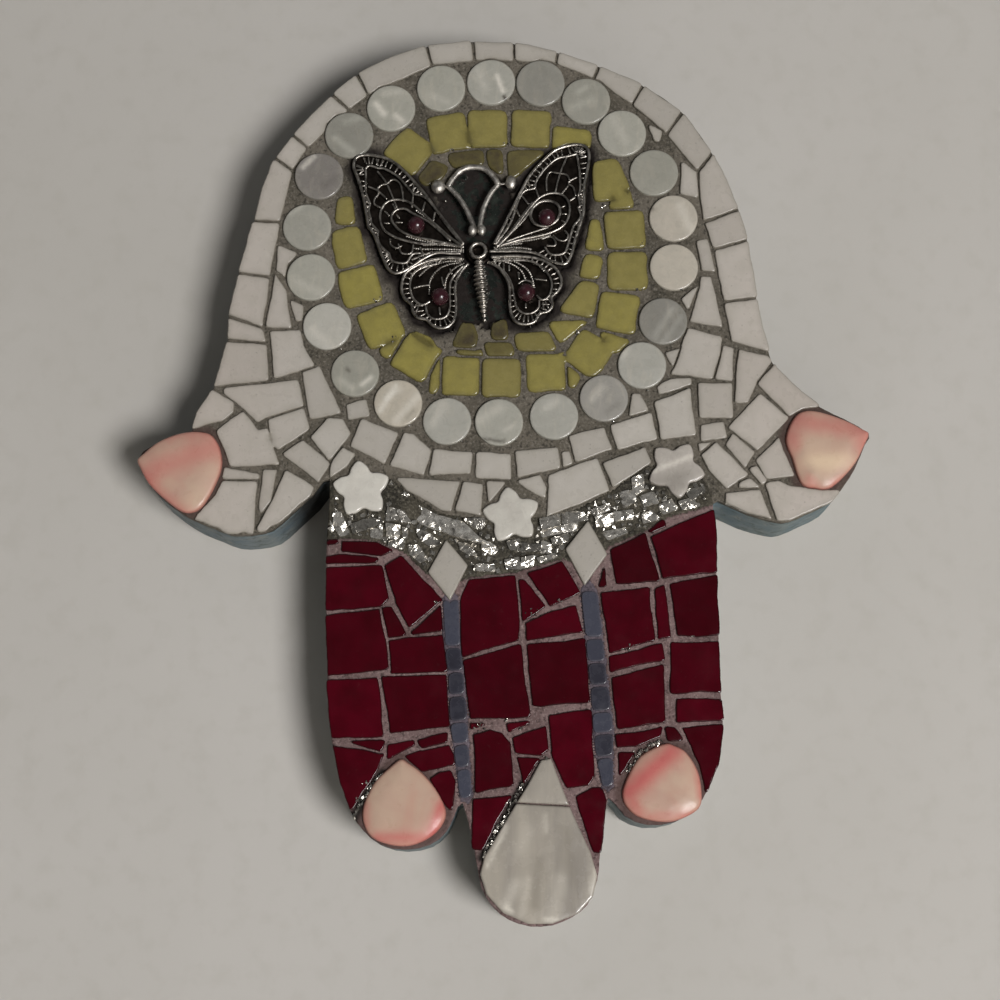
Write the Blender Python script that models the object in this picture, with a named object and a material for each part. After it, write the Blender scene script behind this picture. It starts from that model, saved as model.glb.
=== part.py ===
"""Mosaic hamsa wall plaque: a sawn hand-shaped board with tiles, shell and a metal butterfly on its face.

The plaque hangs upright with its back on the plane y = 0 and its face towards -Y. Its layout is drawn in
sketch units, which a straight-line view from VIEW_DISTANCE puts onto the face at real size.
"""
import math
import random

import bmesh
import bpy
from mathutils import Vector
from mathutils.geometry import delaunay_2d_cdt

for old in list(bpy.data.objects):
    bpy.data.objects.remove(old)

# Real sizes, in metres
PLAQUE_HEIGHT = 0.231
BOARD_THICK = 0.016
GAP = 0.0003
GROUT_THICK = 0.0024
TILE_THICK = 0.0032
RED_THICK = 0.0030
BLUE_THICK = 0.0029
DISC_THICK = 0.0034
STAR_THICK = 0.0035
DIAMOND_THICK = 0.0033
DROP_SIDE = 0.0026
DROP_CROWN = 0.0044
PEAR_THICK = 0.0036
SHARD_LOW = 0.0026
SHARD_STEP = 0.0003
JOINT = 0.0010
RIM_OVERHANG = 0.004
GREEN_SIDE = 0.0096

# The butterfly and the sunk place that it lies in
RECESS_THICK = 0.0013
RECESS_MARGIN = 0.0009
GLASS_THICK = 0.0013
WING_THICK = 0.0019
RIM_RISE = 0.0006
RIM_WIDTH = 0.0009
WING_ROOT = 0.0075
BODY_RISE = 0.0012
BODY_WIDTH = 0.0028
BODY_TAPER = 0.7
RIB_WIDTH = 0.0023
RIB_HEIGHT = 0.0012
PEARL_RADIUS = 0.0021
PEARL_SIDE = 0.0008
PEARL_CROWN = 0.0029
BALL_RADIUS = 0.0012

# The view that the sketch is drawn in: its units, its tilt and the unit that faces it
VIEW_FOCAL = 1722.0
VIEW_TILT = math.radians(10.0)
VIEW_CENTRE = (500.0, 600.0)
SKETCH_TOP = 40.0
SKETCH_FOOT = 925.0

DISC_SKETCH_RADIUS = 24.3
STAR_SKETCH_RADIUS = 24.5
STAR_SKETCH_POINT = 4.8

# How many flats round each curve, and the broken mirror's own chance
DISC_SIDES = 14
HOLE_SIDES = 12
STAR_STEPS = 20
PEARL_SIDES = 10
BALL_SIDES = 6
BODY_STEPS = 5
MIRROR_COLUMNS = 12
MIRROR_SEED = 7

# Levels in front of the back that follow from the sizes
BED = BOARD_THICK + GAP
GROUT = BED + GROUT_THICK
FACE = BED + TILE_THICK
BUTTERFLY_BACK = BED + GLASS_THICK + GAP
WING = BUTTERFLY_BACK + WING_THICK
RIM_TOP = WING + RIM_RISE
BODY_TOP = WING + BODY_RISE

# The sawn outline, clockwise from the top, as x and y in sketch units
OUTLINE = (
    472, 40, 513, 42, 536, 46, 558, 51, 599, 65, 643, 84, 683, 111, 713, 152, 727, 180, 739, 208,
    748, 239, 753, 268, 757, 296, 763, 324, 770, 353, 777, 367, 796, 385, 821, 406, 846, 418, 870, 432.5,
    866, 444, 856, 468, 844, 487, 832, 501, 812, 511, 790, 520.5, 775, 520.5, 748, 513, 726, 503, 714, 502,
    716, 540, 718, 590, 720, 650, 722, 700, 724, 728, 719, 762, 709, 789, 696, 809, 676, 822, 648, 825,
    625, 816, 609, 798, 604, 828, 600, 862, 598, 880, 588, 905, 572, 918, 552, 926, 530, 927,
    508, 920, 492, 907, 481, 888, 477, 868, 472, 842, 462, 803, 454, 817, 446, 832, 430, 845, 404, 850,
    380, 845, 362, 830, 350, 812, 341, 785, 331, 742, 327, 690, 325, 610, 326, 540, 329, 478,
    313, 493, 290, 514, 272, 529, 250, 534, 230, 534, 212, 527, 192, 519, 170, 505, 150, 486,
    136, 459, 152, 444, 174, 433, 191, 430, 197, 411, 212, 388, 220, 364, 227, 338, 228, 314,
    238, 272, 253, 221, 262, 188, 274, 158, 293, 134, 312, 112, 333, 93, 357, 73, 390, 57, 427, 45,
)

# Where one field of the face meets the next
WHITE_LINE = (
    329, 480, 361, 489, 392, 478, 404, 489, 440, 513, 480, 518, 512, 512, 543, 519, 578, 508, 612, 490,
    647, 465, 676, 467, 700, 474, 708, 486, 714, 503,
)
MIRROR_LINE = (
    326, 539, 350, 538, 378, 541, 404, 552, 428, 575, 448, 570, 469, 577, 515, 572, 563, 558,
    586, 553, 609, 546, 645, 530, 668, 517, 714, 504,
)
BLUE_LEFT = ((442, 598, 443, 640, 447, 672, 449, 720, 455, 765, 459, 800),
             (459, 598, 461, 640, 466, 690, 468, 720, 470, 760, 473, 797))
BLUE_RIGHT = ((580, 590, 585, 640, 590, 690, 592, 720, 594, 750, 602, 788),
              (598, 590, 603, 630, 607, 670, 611, 700, 614, 730, 614, 786))
BLUE_JOINTS = (0.245, 0.37, 0.49, 0.62, 0.73, 0.85)
# The middle finger's red field ends on its drop, from the left side of the finger round to the right
MIDDLE_TIP = (600, 862, 477, 868, 472, 842)
MIDDLE_NOTCH = (607, 800, 604, 828)

# Shell discs of the ring, by centre
DISCS = (
    491, 82, 540.5, 83, 586, 101, 622, 133, 654, 172.5, 673.5, 218, 674, 267, 663, 321, 642, 365,
    604, 398, 554, 416, 499, 422, 447, 421, 398, 403, 355, 373, 327, 326, 311, 277, 307, 227,
    319, 176, 349, 135, 391, 108, 441, 88,
)
# Stars by centre and the turn of one point, diamonds by their four corners
STARS = ((361.5, 488.8, 97), (511.5, 515, 98), (676, 469, -83))
DIAMONDS = ((446, 539, 468, 565, 450, 600.5, 427.5, 572), (588, 520, 607.5, 554, 584.5, 585.5, 565, 549))
# Drops by points on their edge; the first is the tip
DROPS = {
    "drop_thumb_left": (137, 459.6, 155, 443.5, 182, 432.5, 209.8, 433.7, 221, 453, 219.6, 474.4, 205, 503,
                        191.6, 512.3, 176, 508, 148, 482.8),
    "drop_thumb_right": (869.2, 433.2, 849.4, 421.7, 815, 410.5, 795.9, 415.3, 785.7, 438.3, 792, 458,
                         801, 482.9, 815, 488, 832, 487, 855.8, 462.5),
    "drop_finger_left": (400.6, 760.4, 377, 781, 363.9, 810, 369, 831.8, 384, 841.5, 408, 844.5,
                         432.2, 833.9, 444.5, 814, 434, 789, 415.9, 769.6),
    "drop_finger_right": (666.6, 743, 640, 756, 622.5, 790, 628.3, 809, 645, 819, 672, 821.5,
                          696.2, 810.9, 702, 796.6, 698, 771, 684, 750),
}
PEAR = (541, 760, 528, 784, 506, 820, 484, 857, 480, 874, 486, 894, 503, 913, 528, 924, 552, 924,
        578, 914, 593, 897, 597.5, 876, 591, 853, 573, 814, 560, 782, 551, 758)
PEAR_JOINT = (470, 800.5, 610, 808)
# Where a drop reaches the board's edge, its field stops short of it: the two thumbs, then the right finger
THUMB_TIPS = ((120, 415, 190, 424, 204, 440, 172, 500, 150, 525, 120, 525),
              (823, 400, 880, 400, 880, 502, 847, 500, 838, 487, 815, 440))
FINGER_TIP = (655, 815, 690, 800, 698, 792, 722, 792, 722, 812, 700, 836, 640, 836, 645, 826)

# Rim course: the joints between its tiles, each by an outer and an inner end
RIM = (
    (212, 388, 270, 381), (226, 340, 268, 343), (228, 316, 263, 328), (238, 272, 271, 277),
    (253, 221, 281, 222), (274, 158, 293, 171), (293, 135, 308, 148), (332, 94, 349, 110),
    (357, 74, 368, 95), (426, 45, 432, 66), (472, 40, 474, 61), (514, 42, 514, 61), (558, 51, 556, 64),
    (599, 65, 593, 79), (643, 85, 632, 105), (683, 111, 666, 135), (713, 152, 697, 171),
    (739, 209, 702, 222), (748, 239, 713, 249), (757, 297, 723, 302), (770, 352, 730, 342),
)
# White paving inside the rim, tile by tile, by corners
WHITE = (
    (278, 245, 296, 253, 287, 263, 285, 276, 276, 270), (275, 274, 286, 290, 291, 327, 266, 326),
    (290, 300, 303, 305, 302, 320, 296, 321), (270, 331, 300, 330, 303, 345, 314, 365, 274, 378),
    (302, 372, 319, 366, 340, 412, 310, 418), (346, 404, 366, 399, 369, 415, 348, 419),
    (224, 388, 297, 380, 303, 405, 266, 417, 257, 421, 240, 405, 224, 394),
    (268, 419, 303, 408, 309, 428, 278, 449, 272, 445),
    (217, 431, 243, 411, 258, 430, 267, 428, 279, 464, 231, 466),
    (211, 389, 234, 402, 233, 412, 222, 420, 184, 430, 192, 400),
    (224, 467, 258, 474, 258, 478, 223, 478),
    (223, 481, 256, 482, 253, 542, 232, 542, 190, 524, 203, 508, 216, 495),
    (263, 469, 277, 469, 271, 500, 261, 512, 259, 508),
    (286, 470, 314, 487, 300, 514, 285, 524, 262, 538, 257, 528, 272, 500),
    (283, 454, 303, 440, 330, 463, 318, 482), (311, 437, 328, 418, 343, 419, 350, 433, 329, 459),
    (331, 463, 343, 447, 355, 454, 346, 466, 330, 477), (362, 419, 398, 433, 384, 463, 350, 446),
    (404, 432, 414, 434, 430, 450, 424, 475, 390, 465), (434, 449, 472, 452, 470, 473, 430, 474),
    (477, 452, 511, 454, 511, 479, 476, 477), (515, 451, 557, 448, 560, 467, 518, 477),
    (562, 452, 569, 451, 573, 463, 563, 467), (569, 436, 604, 427, 613, 449, 576, 461),
    (611, 425, 651, 412, 657, 438, 618, 449), (655, 402, 690, 388, 696, 434, 661, 439),
    (633, 394, 640, 394, 648, 410, 629, 416), (698, 383, 732, 383, 733, 417, 700, 417),
    (688, 328, 721, 337, 720, 352, 712, 378, 671, 374, 680, 352), (723, 345, 733, 348, 732, 380, 716, 378),
    (701, 276, 711, 276, 723, 327, 690, 321, 699, 290), (697, 241, 707, 239, 715, 271, 702, 270),
    (682, 299, 698, 286, 688, 308), (665, 353, 680, 348, 673, 366),
    (657, 386, 671, 379, 691, 377, 692, 384, 659, 394), (739, 349, 768, 356, 771, 361, 757, 380,
                                                        748, 402, 735, 402),
    (777, 362, 800, 380, 826, 404, 803, 407, 789, 416, 758, 383), (649, 125, 662, 131, 659, 140, 655, 140),
    (682, 162, 697, 172, 697, 196, 680, 193), (701, 425, 724, 421, 727, 437, 701, 441),
    (728, 427, 760, 393, 789, 417, 757, 450), (726, 445, 733, 433, 755, 451, 745, 467),
    (698, 443, 713, 441, 700, 451), (701, 455, 716, 442, 748, 474, 727, 488, 710, 470),
    (757, 460, 779, 437, 783, 450, 795, 475, 767, 478), (750, 469, 757, 466, 767, 480, 763, 484),
    (740, 482, 750, 478, 760, 487, 739, 487), (726, 493, 760, 489, 774, 524, 752, 520, 726, 508),
    (766, 483, 779, 481, 790, 486, 840, 491, 822, 511, 800, 522, 779, 524),
    (397, 478, 460, 481, 451, 511, 440, 509, 407, 489), (464, 482, 483, 484, 481, 515, 456, 510),
    (487, 481, 505, 482, 489, 502), (518, 481, 540, 474, 547, 487, 546, 498, 535, 494),
    (549, 475, 597, 458, 609, 490, 546, 517, 547, 497), (603, 463, 645, 447, 651, 462, 613, 487, 610, 478),
)
# Green squares by centre and turn, then the green pieces cut to fit
GREEN_SQUARES = (
    (409, 150, 38), (448, 132, -11), (487.5, 128, 0), (531, 128, 3), (625, 229, -3), (627.5, 270, 0),
    (618, 312, 9), (588.5, 353, 33), (546.5, 371.5, -3), (500.5, 377, 1), (460.5, 375, 1), (415, 356.5, 31),
    (381, 325, -22), (359.5, 286, -14),
)
GREEN_CUT = (
    (553, 126, 590, 131, 589, 146, 553, 147), (594, 162, 616, 158, 629, 186, 622, 197, 595, 200),
    (612, 200, 629, 190, 633, 206, 610, 208), (600, 331, 630, 341, 620, 352, 611, 350),
    (567, 364, 580, 377, 574, 386, 568, 386), (438, 360, 440, 358, 440, 388, 430, 393, 432, 374),
    (380, 350, 403, 334, 391, 358, 383, 355), (331, 232, 357, 226, 366, 260, 338, 268),
    (338, 198, 351, 196, 354, 222, 336, 222), (419, 177, 432, 160, 448, 166, 440, 178, 425, 184),
    (449, 153, 483, 150, 482, 164, 452, 166), (487, 150, 501, 150, 502, 173, 490, 167),
    (508, 151, 544, 151, 510, 180), (592, 220, 598, 220, 604, 249, 586, 248),
    (586, 254, 602, 257, 598, 277, 580, 277), (583, 280, 598, 285, 592, 316, 560, 310),
    (549, 322, 588, 321, 560, 342), (515, 334, 548, 332, 556, 350, 518, 349),
    (485, 343, 511, 343, 514, 354, 486, 354), (467, 312, 477, 335, 474, 347, 453, 345),
    (494, 312, 504, 312, 507, 338, 492, 338), (456, 350, 482, 350, 483, 355, 460, 354),
    (411, 331, 430, 338, 436, 348),
)
# Red glass of the three fingers, tile by tile, by corners
RED_LEFT = (
    (320, 520, 336, 528, 338, 543, 320, 545), (342, 541, 377, 543, 392, 550, 380, 556, 342, 551),
    (320, 557, 346, 554, 378, 558, 375, 561, 320, 563), (320, 568, 382, 566, 388, 598, 380, 606, 320, 610),
    (385, 566, 401, 556, 441, 600, 409, 627, 396, 603), (318, 617, 379, 609, 387, 648, 389, 668, 318, 677),
    (382, 608, 391, 607, 405, 634, 388, 637), (412, 633, 441, 604, 442, 630),
    (389, 641, 442, 635, 446, 671, 391, 673), (320, 681, 377, 678, 383, 736, 322, 738),
    (382, 677, 446, 675, 449, 725, 390, 733), (352, 742, 384, 741, 380, 751),
    (388, 745, 414, 740, 415, 745, 403, 750, 388, 758), (418, 741, 447, 733, 446, 742, 422, 748),
    (405, 756, 420, 750, 449, 745, 457, 764, 421, 771), (430, 779, 440, 773, 450, 772, 454, 781, 451, 809,
                                                         438, 796),
    (322, 744, 384, 754, 376, 772, 352, 809, 334, 812),
)
RED_MIDDLE = (
    (469, 580, 515, 575, 519, 620, 519, 640, 462, 656, 461, 600), (519, 580, 524, 580, 545, 606, 523, 620),
    (528, 573, 562, 561, 580, 592, 550, 606), (526, 623, 550, 613, 576, 605, 583, 632, 527, 640),
    (464, 661, 520, 645, 530, 716, 471, 718), (528, 645, 585, 639, 589, 701, 540, 706, 533, 705),
    (550, 716, 590, 711, 594, 776, 588, 785, 567, 788, 552, 757), (470, 723, 485, 724, 471, 729),
    (474, 735, 490, 730, 502, 734, 510, 743, 513, 785, 476, 792), (507, 724, 529, 722, 509, 732),
    (513, 738, 546, 726, 549, 750, 541, 755, 516, 752), (517, 757, 540, 759, 524, 783),
    (466, 800, 511, 796, 482, 848, 466, 848), (577, 797, 592, 788, 610, 788, 606, 852, 593, 852),
)
RED_RIGHT = (
    (604, 563, 606, 586, 591, 586), (612, 550, 645, 533, 659, 580, 617, 583),
    (648, 531, 663, 519, 665, 525, 653, 532), (652, 537, 720, 507, 722, 571, 663, 578),
    (602, 593, 649, 588, 654, 639, 610, 652), (656, 589, 664, 585, 671, 637, 658, 639),
    (670, 584, 724, 574, 726, 634, 678, 635), (610, 657, 662, 643, 664, 659, 611, 671),
    (613, 678, 663, 665, 665, 721, 618, 728, 614, 700), (672, 643, 728, 641, 730, 692, 672, 692),
    (677, 699, 730, 700, 730, 718, 677, 722), (616, 735, 640, 732, 662, 727, 660, 736, 636, 746, 617, 747),
    (619, 753, 636, 752, 620, 775), (666, 728, 675, 728, 682, 739, 669, 740),
    (683, 728, 732, 724, 728, 765, 707, 795, 701, 765, 692, 745),
)

# The butterfly: wings by edge points, then the loops and pearls set in them
WINGS = (
    (354.4, 164, 357, 157, 368, 155, 383, 157, 400, 168, 419.5, 187, 439, 208, 455, 227, 469, 243,
     470, 252, 442, 253, 423, 262, 402, 272, 391, 271, 383, 258, 375, 235, 367, 221, 363, 196, 356, 177),
    (470, 256, 440, 260, 411, 270, 402, 283, 402, 296, 412, 307.5, 416, 317, 427, 321, 439, 327.5,
     450, 325.5, 455, 311, 454, 292, 456, 277, 472, 260),
    (488, 244, 501.7, 227, 517, 196.5, 530, 173.6, 549.6, 153.5, 568.7, 145, 584, 145, 589.4, 152.5,
     588, 177.4, 585, 202, 584, 217.6, 576, 238.6, 568.7, 261.6, 561, 264, 545.7, 256, 521, 249, 488, 253),
    (488, 251, 511, 252, 540, 257.7, 557, 271, 561, 284.5, 553, 296, 549.6, 307.5, 540, 317,
     526.6, 323, 515, 319, 511, 307.5, 508, 288, 498, 271, 484, 260),
)
WING_LOOPS = (
    (381, 206, 392, 199, 412, 203, 432, 220, 457, 246, 436, 245, 400, 240, 384, 229, 380, 216),
    (412, 281, 432, 268, 452, 261, 446, 280, 428, 304, 413, 296),
    (529, 202, 552, 192, 566, 197, 571, 213, 562, 228, 542, 234, 506, 243, 516, 220),
    (512, 262, 536, 263, 549, 275, 549, 292, 538, 298, 526, 282),
)
PEARLS = ((415.7, 223.3), (439.6, 295), (546.7, 215.7), (526.2, 290.8))
BUTTERFLY_RING = (478.4, 250.7, 9.8, 6.6)
ANTENNA_ARCH = (447, 189, 452, 178, 461, 170.5, 474, 166.5, 488, 170.5, 497, 178, 501, 187)
ANTENNA_LEFT = (447, 187, 458, 197, 468, 214, 473, 226, 477, 247)
ANTENNA_RIGHT = (501, 186, 490, 196, 483, 212, 480, 226, 480, 247)
ANTENNA_BALLS = ((438, 187), (510, 183))
ANTENNA_FEET = ((448, 187), (500, 185))
HEAD_BALLS = ((472.5, 230.5), (482, 230.5))
BODY = (479.5, 254, 482, 280, 484, 304, 486, 322)
RIB_SHARES = (0.14, 0.33, 0.52, 0.71, 0.9)
GLASS_UPPER = (440, 196, 452, 178, 462, 170, 474, 167, 488, 170, 499, 179, 510, 196, 497, 224, 486, 240,
               470, 240, 458, 226)
GLASS_LOWER = (459, 276, 470, 262, 486, 262, 499, 272, 507, 290, 507, 312, 494, 318, 466, 318, 457, 308)


def sight(across, down):
    """Direction of the line of sight through a sketch point."""
    x = (across - VIEW_CENTRE[0]) / VIEW_FOCAL
    z = (VIEW_CENTRE[1] - down) / VIEW_FOCAL
    cos, sin = math.cos(VIEW_TILT), math.sin(VIEW_TILT)
    return Vector((x, cos - z * sin, sin + z * cos))


def climb(down):
    """Rise per unit of distance along the line of sight at this sketch height."""
    way = sight(VIEW_CENTRE[0], down)
    return way.z / way.y


VIEW_DISTANCE = PLAQUE_HEIGHT / (climb(SKETCH_TOP) - climb(SKETCH_FOOT))
EYE = Vector((0.0, -FACE - VIEW_DISTANCE, -PLAQUE_HEIGHT / 2 - climb(SKETCH_FOOT) * VIEW_DISTANCE))


def spot(across, down, level=FACE):
    """The sketch point on the plane that stands this far in front of the back."""
    way = sight(across, down)
    reach = (-level - EYE.y) / way.y
    return (EYE.x + reach * way.x, EYE.z + reach * way.z)


def path(flat, level=FACE):
    """Sketch numbers, taken in twos, as points on the face."""
    return [spot(flat[i], flat[i + 1], level) for i in range(0, len(flat), 2)]


def area(points):
    return sum(a[0] * b[1] - b[0] * a[1] for a, b in zip(points, points[1:] + points[:1])) / 2


def wound(points):
    """The points anticlockwise as the face is seen."""
    return list(points) if area(points) > 0 else list(reversed(points))


def offset(points, by):
    """The outline moved outwards by a distance, or inwards where it is negative."""
    points = [Vector(p) for p in wound(points)]
    out = []
    for i, here in enumerate(points):
        ahead = (points[(i + 1) % len(points)] - here).normalized()
        behind = (here - points[i - 1]).normalized()
        first = Vector((behind.y, -behind.x))
        second = Vector((ahead.y, -ahead.x))
        out.append(tuple(here + by * (first + second) / max(1 + first.dot(second), 0.35)))
    return out


def smooth(points, pieces=3, sharp=()):
    """A closed curve through the points, with corners at the places named sharp."""
    out = []
    count = len(points)
    for i in range(count):
        p0, p1, p2, p3 = (Vector(points[(i + k) % count]) for k in (-1, 0, 1, 2))
        start = Vector((0, 0)) if i in sharp else (p2 - p0) / 2
        end = Vector((0, 0)) if (i + 1) % count in sharp else (p3 - p1) / 2
        for step in range(pieces):
            t = step / pieces
            h = (2 * t**3 - 3 * t**2 + 1, t**3 - 2 * t**2 + t, 3 * t**2 - 2 * t**3, t**3 - t**2)
            out.append(tuple(h[0] * p1 + h[1] * start + h[2] * p2 + h[3] * end))
    return out


def along(points, share):
    """The point this share of the way along an open path."""
    points = [Vector(p) for p in points]
    spans = [(b - a).length for a, b in zip(points, points[1:])]
    left = share * sum(spans)
    for a, b, span in zip(points, points[1:], spans):
        if left <= span:
            return a + (b - a) * left / span
        left -= span
    return points[-1]


def ribbon(points, width):
    """A band of this width along an open path."""
    points = [Vector(p) for p in points]
    sides = ([], [])
    for i, here in enumerate(points):
        way = (points[min(i + 1, len(points) - 1)] - points[max(i - 1, 0)]).normalized()
        out = Vector((-way.y, way.x)) * width / 2
        sides[0].append(tuple(here + out))
        sides[1].append(tuple(here - out))
    return sides[0] + sides[1][::-1]


def round_spot(centre, radius, sides=16):
    """A circle on the face round a point."""
    turn = [2 * math.pi * i / sides for i in range(sides)]
    return [(centre[0] + radius * math.cos(a), centre[1] + radius * math.sin(a)) for a in turn]


def sketch_size(across, down, size):
    """A length in sketch units at this place, as a real length across the face."""
    return spot(across + size, down)[0] - spot(across, down)[0]


def material(name, red, green, blue, roughness, metallic=0.0):
    made = bpy.data.materials.new(name)
    made.use_nodes = True
    shader = made.node_tree.nodes["Principled BSDF"]
    linear = [((c / 255 + 0.055) / 1.055) ** 2.4 for c in (red, green, blue)]
    shader.inputs["Base Color"].default_value = (*linear, 1)
    shader.inputs["Roughness"].default_value = roughness
    shader.inputs["Metallic"].default_value = metallic
    made.diffuse_color = (*linear, 1)
    return made


def keep(name, mesh, look):
    """The finished mesh as a named object of its own material."""
    bmesh.ops.triangulate(mesh, faces=mesh.faces)
    data = bpy.data.meshes.new(name)
    mesh.to_mesh(data)
    mesh.free()
    data.materials.append(look)
    made = bpy.data.objects.new(name, data)
    bpy.context.scene.collection.objects.link(made)
    return made


def stepped(name, look, outline, back, floor, regions=()):
    """A closed piece from back to floor, raised or cut through where its regions say, inside its outline."""
    shapes = [shape for shape, _ in regions] + ([outline] if outline else [])
    points, loops = [], []
    for shape in shapes:
        loops.append(list(range(len(points), len(points) + len(shape))))
        points += [Vector(p) * 1000 for p in wound(shape)]
    flat, _, faces, _, _, sources = delaunay_2d_cdt(points, [], loops, 1, 0.001)
    kept = []
    for face, source in zip(faces, sources):
        if outline and len(regions) not in source:
            continue
        level = floor
        for i, (_, height) in enumerate(regions):
            if i in source:
                level = height
        if level is not None:
            kept.append((face, level))
    sides, levels = {}, {}
    for face, level in kept:
        for a, b in zip(face, face[1:] + face[:1]):
            sides[a, b] = level
            levels.setdefault(a, set()).add(level)
    for a, b in list(sides):
        if (b, a) not in sides:
            levels[a].add(back)
            levels[b].add(back)
    mesh = bmesh.new()
    corners = {}

    def corner(index, level):
        if (index, level) not in corners:
            x, z = flat[index] / 1000
            corners[index, level] = mesh.verts.new((x, -level, z))
        return corners[index, level]

    for face, level in kept:
        mesh.faces.new([corner(i, level) for i in face])
        mesh.faces.new([corner(i, back) for i in reversed(face)])
    for (a, b), high in sides.items():
        low = sides.get((b, a), back)
        if low < high:
            fall = [corner(a, v) for v in sorted(levels[a], reverse=True) if low <= v <= high]
            rise = [corner(b, v) for v in sorted(levels[b]) if low <= v <= high]
            mesh.faces.new(fall + rise)
    return keep(name, mesh, look)


def dome(name, look, outline, back, side, crown, rings=3):
    """A closed piece with upright sides and a rounded crown."""
    outline = wound(outline)
    middle = Vector((sum(p[0] for p in outline), sum(p[1] for p in outline))) / len(outline)
    mesh = bmesh.new()
    layers = [(1.0, back), (1.0, side)]
    for i in range(1, rings):
        angle = math.pi / 2 * i / rings
        layers.append((math.cos(angle), side + (crown - side) * math.sin(angle)))
    rows = []
    for scale, level in layers:
        spots = [middle + (Vector(p) - middle) * scale for p in outline]
        rows.append([mesh.verts.new((p.x, -level, p.y)) for p in spots])
    mesh.faces.new(rows[0][::-1])
    for low, high in zip(rows, rows[1:]):
        for i in range(len(outline)):
            j = (i + 1) % len(outline)
            mesh.faces.new((low[i], low[j], high[j], high[i]))
    top = mesh.verts.new((middle.x, -crown, middle.y))
    for i in range(len(outline)):
        mesh.faces.new((rows[-1][i], rows[-1][(i + 1) % len(outline)], top))
    return keep(name, mesh, look)


def star(across, down, turn):
    """A five-pointed star with rounded points."""
    middle = Vector(spot(across, down))
    unit = sketch_size(across, down, 1)
    out = []
    for i in range(STAR_STEPS):
        angle = 2 * math.pi * i / STAR_STEPS
        reach = unit * (STAR_SKETCH_RADIUS + STAR_SKETCH_POINT * math.cos(5 * angle))
        way = angle + math.radians(turn)
        out.append((middle.x + reach * math.cos(way), middle.y + reach * math.sin(way)))
    return out


def square(across, down, turn, side):
    """The corners of a square tile."""
    middle = spot(across, down)
    reach = side / math.sqrt(2)
    turns = [math.radians(45 + 90 * i - turn) for i in range(4)]
    return [(middle[0] + reach * math.cos(a), middle[1] + reach * math.sin(a)) for a in turns]


def cut(points, line, keep_above):
    """The part of an outline on one side of a line, less half the gap."""
    a, b = (Vector(p) for p in line)
    way = (b - a).normalized()
    up = Vector((-way.y, way.x)) * (1 if keep_above else -1)
    heights = [(Vector(p) - a).dot(up) - GAP / 2 for p in points]
    out = []
    for i, here in enumerate(points):
        after = (i + 1) % len(points)
        if heights[i] >= 0:
            out.append(here)
        if heights[i] * heights[after] < 0:
            share = heights[i] / (heights[i] - heights[after])
            out.append(tuple(Vector(here).lerp(Vector(points[after]), share)))
    return out


def outline_between(start, end):
    """The board's outline from one sketch point to another, going clockwise."""
    pairs = [(OUTLINE[i], OUTLINE[i + 1]) for i in range(0, len(OUTLINE), 2)]
    first, last = pairs.index(start), pairs.index(end)
    if last < first:
        last += len(pairs)
    return [spot(*pairs[i % len(pairs)]) for i in range(first, last + 1)]


def hole(shape):
    """A region cut right through a field, clear of the piece of this shape."""
    return (offset(shape, GAP), None)


def tiles(corner_lists, thick):
    """Regions raised above the grout, one for each tile."""
    return [(wound(path(flat)), BED + thick) for flat in corner_lists]


def field(name, look, edge, regions):
    """A bed of grout inside an edge, with its tiles raised and its holes cut."""
    stepped(name, look, offset(edge, -GAP / 2), BED, GROUT, regions)


white_glass = material("white_tile", 196, 190, 180, 0.25)
green_glass = material("green_tile", 150, 145, 72, 0.25)
red_glass = material("red_tile", 84, 10, 24, 0.15)
blue_glass = material("blue_tile", 92, 104, 128, 0.25)
mirror_glass = material("mirror_shard", 190, 188, 182, 0.12, 0.9)
dark_glass = material("dark_glass", 45, 50, 46, 0.12)
shell = material("shell_disc", 188, 188, 178, 0.3)
bright_shell = material("bright_shell", 222, 216, 204, 0.25)
pink_shell = material("pink_shell", 222, 158, 146, 0.3)
grey_shell = material("pearl_shell", 196, 190, 178, 0.25)
silver = material("old_silver", 120, 114, 106, 0.35, 1.0)
wine_pearl = material("wine_pearl", 92, 52, 62, 0.15)
board_paint = material("board_paint", 112, 130, 136, 0.6)

stepped("board", board_paint, path(OUTLINE), 0.0, BOARD_THICK)

# The loose pieces come first, because every field is cut to clear them
disc_spots = [(DISCS[i], DISCS[i + 1]) for i in range(0, len(DISCS), 2)]
disc_middles = [spot(*where) for where in disc_spots]
disc_radii = [sketch_size(*where, DISC_SKETCH_RADIUS) for where in disc_spots]
for number, (middle, radius) in enumerate(zip(disc_middles, disc_radii), 1):
    stepped(f"disc_{number:02d}", shell, round_spot(middle, radius, DISC_SIDES), BED, BED + DISC_THICK)
stars = [star(*where) for where in STARS]
for number, shape in enumerate(stars, 1):
    stepped(f"star_{number}", bright_shell, shape, BED, BED + STAR_THICK)
diamonds = [path(flat) for flat in DIAMONDS]
for number, shape in enumerate(diamonds, 1):
    stepped(f"diamond_{number}", white_glass, shape, BED, BED + DIAMOND_THICK)
drops = {name: smooth(path(flat), 2, (0,)) for name, flat in DROPS.items()}
for name, shape in drops.items():
    dome(name, pink_shell, shape, BED, BED + DROP_SIDE, BED + DROP_CROWN)
pear = wound(path(PEAR))
for name, above in (("pear_tip", True), ("pear_body", False)):
    stepped(name, grey_shell, cut(pear, path(PEAR_JOINT), above), BED, BED + PEAR_THICK)

# A hole of few sides reaches out far enough for its flats to clear the disc
hole_reach = 1 / math.cos(math.pi / HOLE_SIDES)
disc_holes = [(round_spot(middle, (radius + GAP) * hole_reach, HOLE_SIDES), None)
              for middle, radius in zip(disc_middles, disc_radii)]
star_holes = [hole(shape) for shape in stars]
diamond_holes = [hole(shape) for shape in diamonds]
pear_hole = hole(pear)


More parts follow.
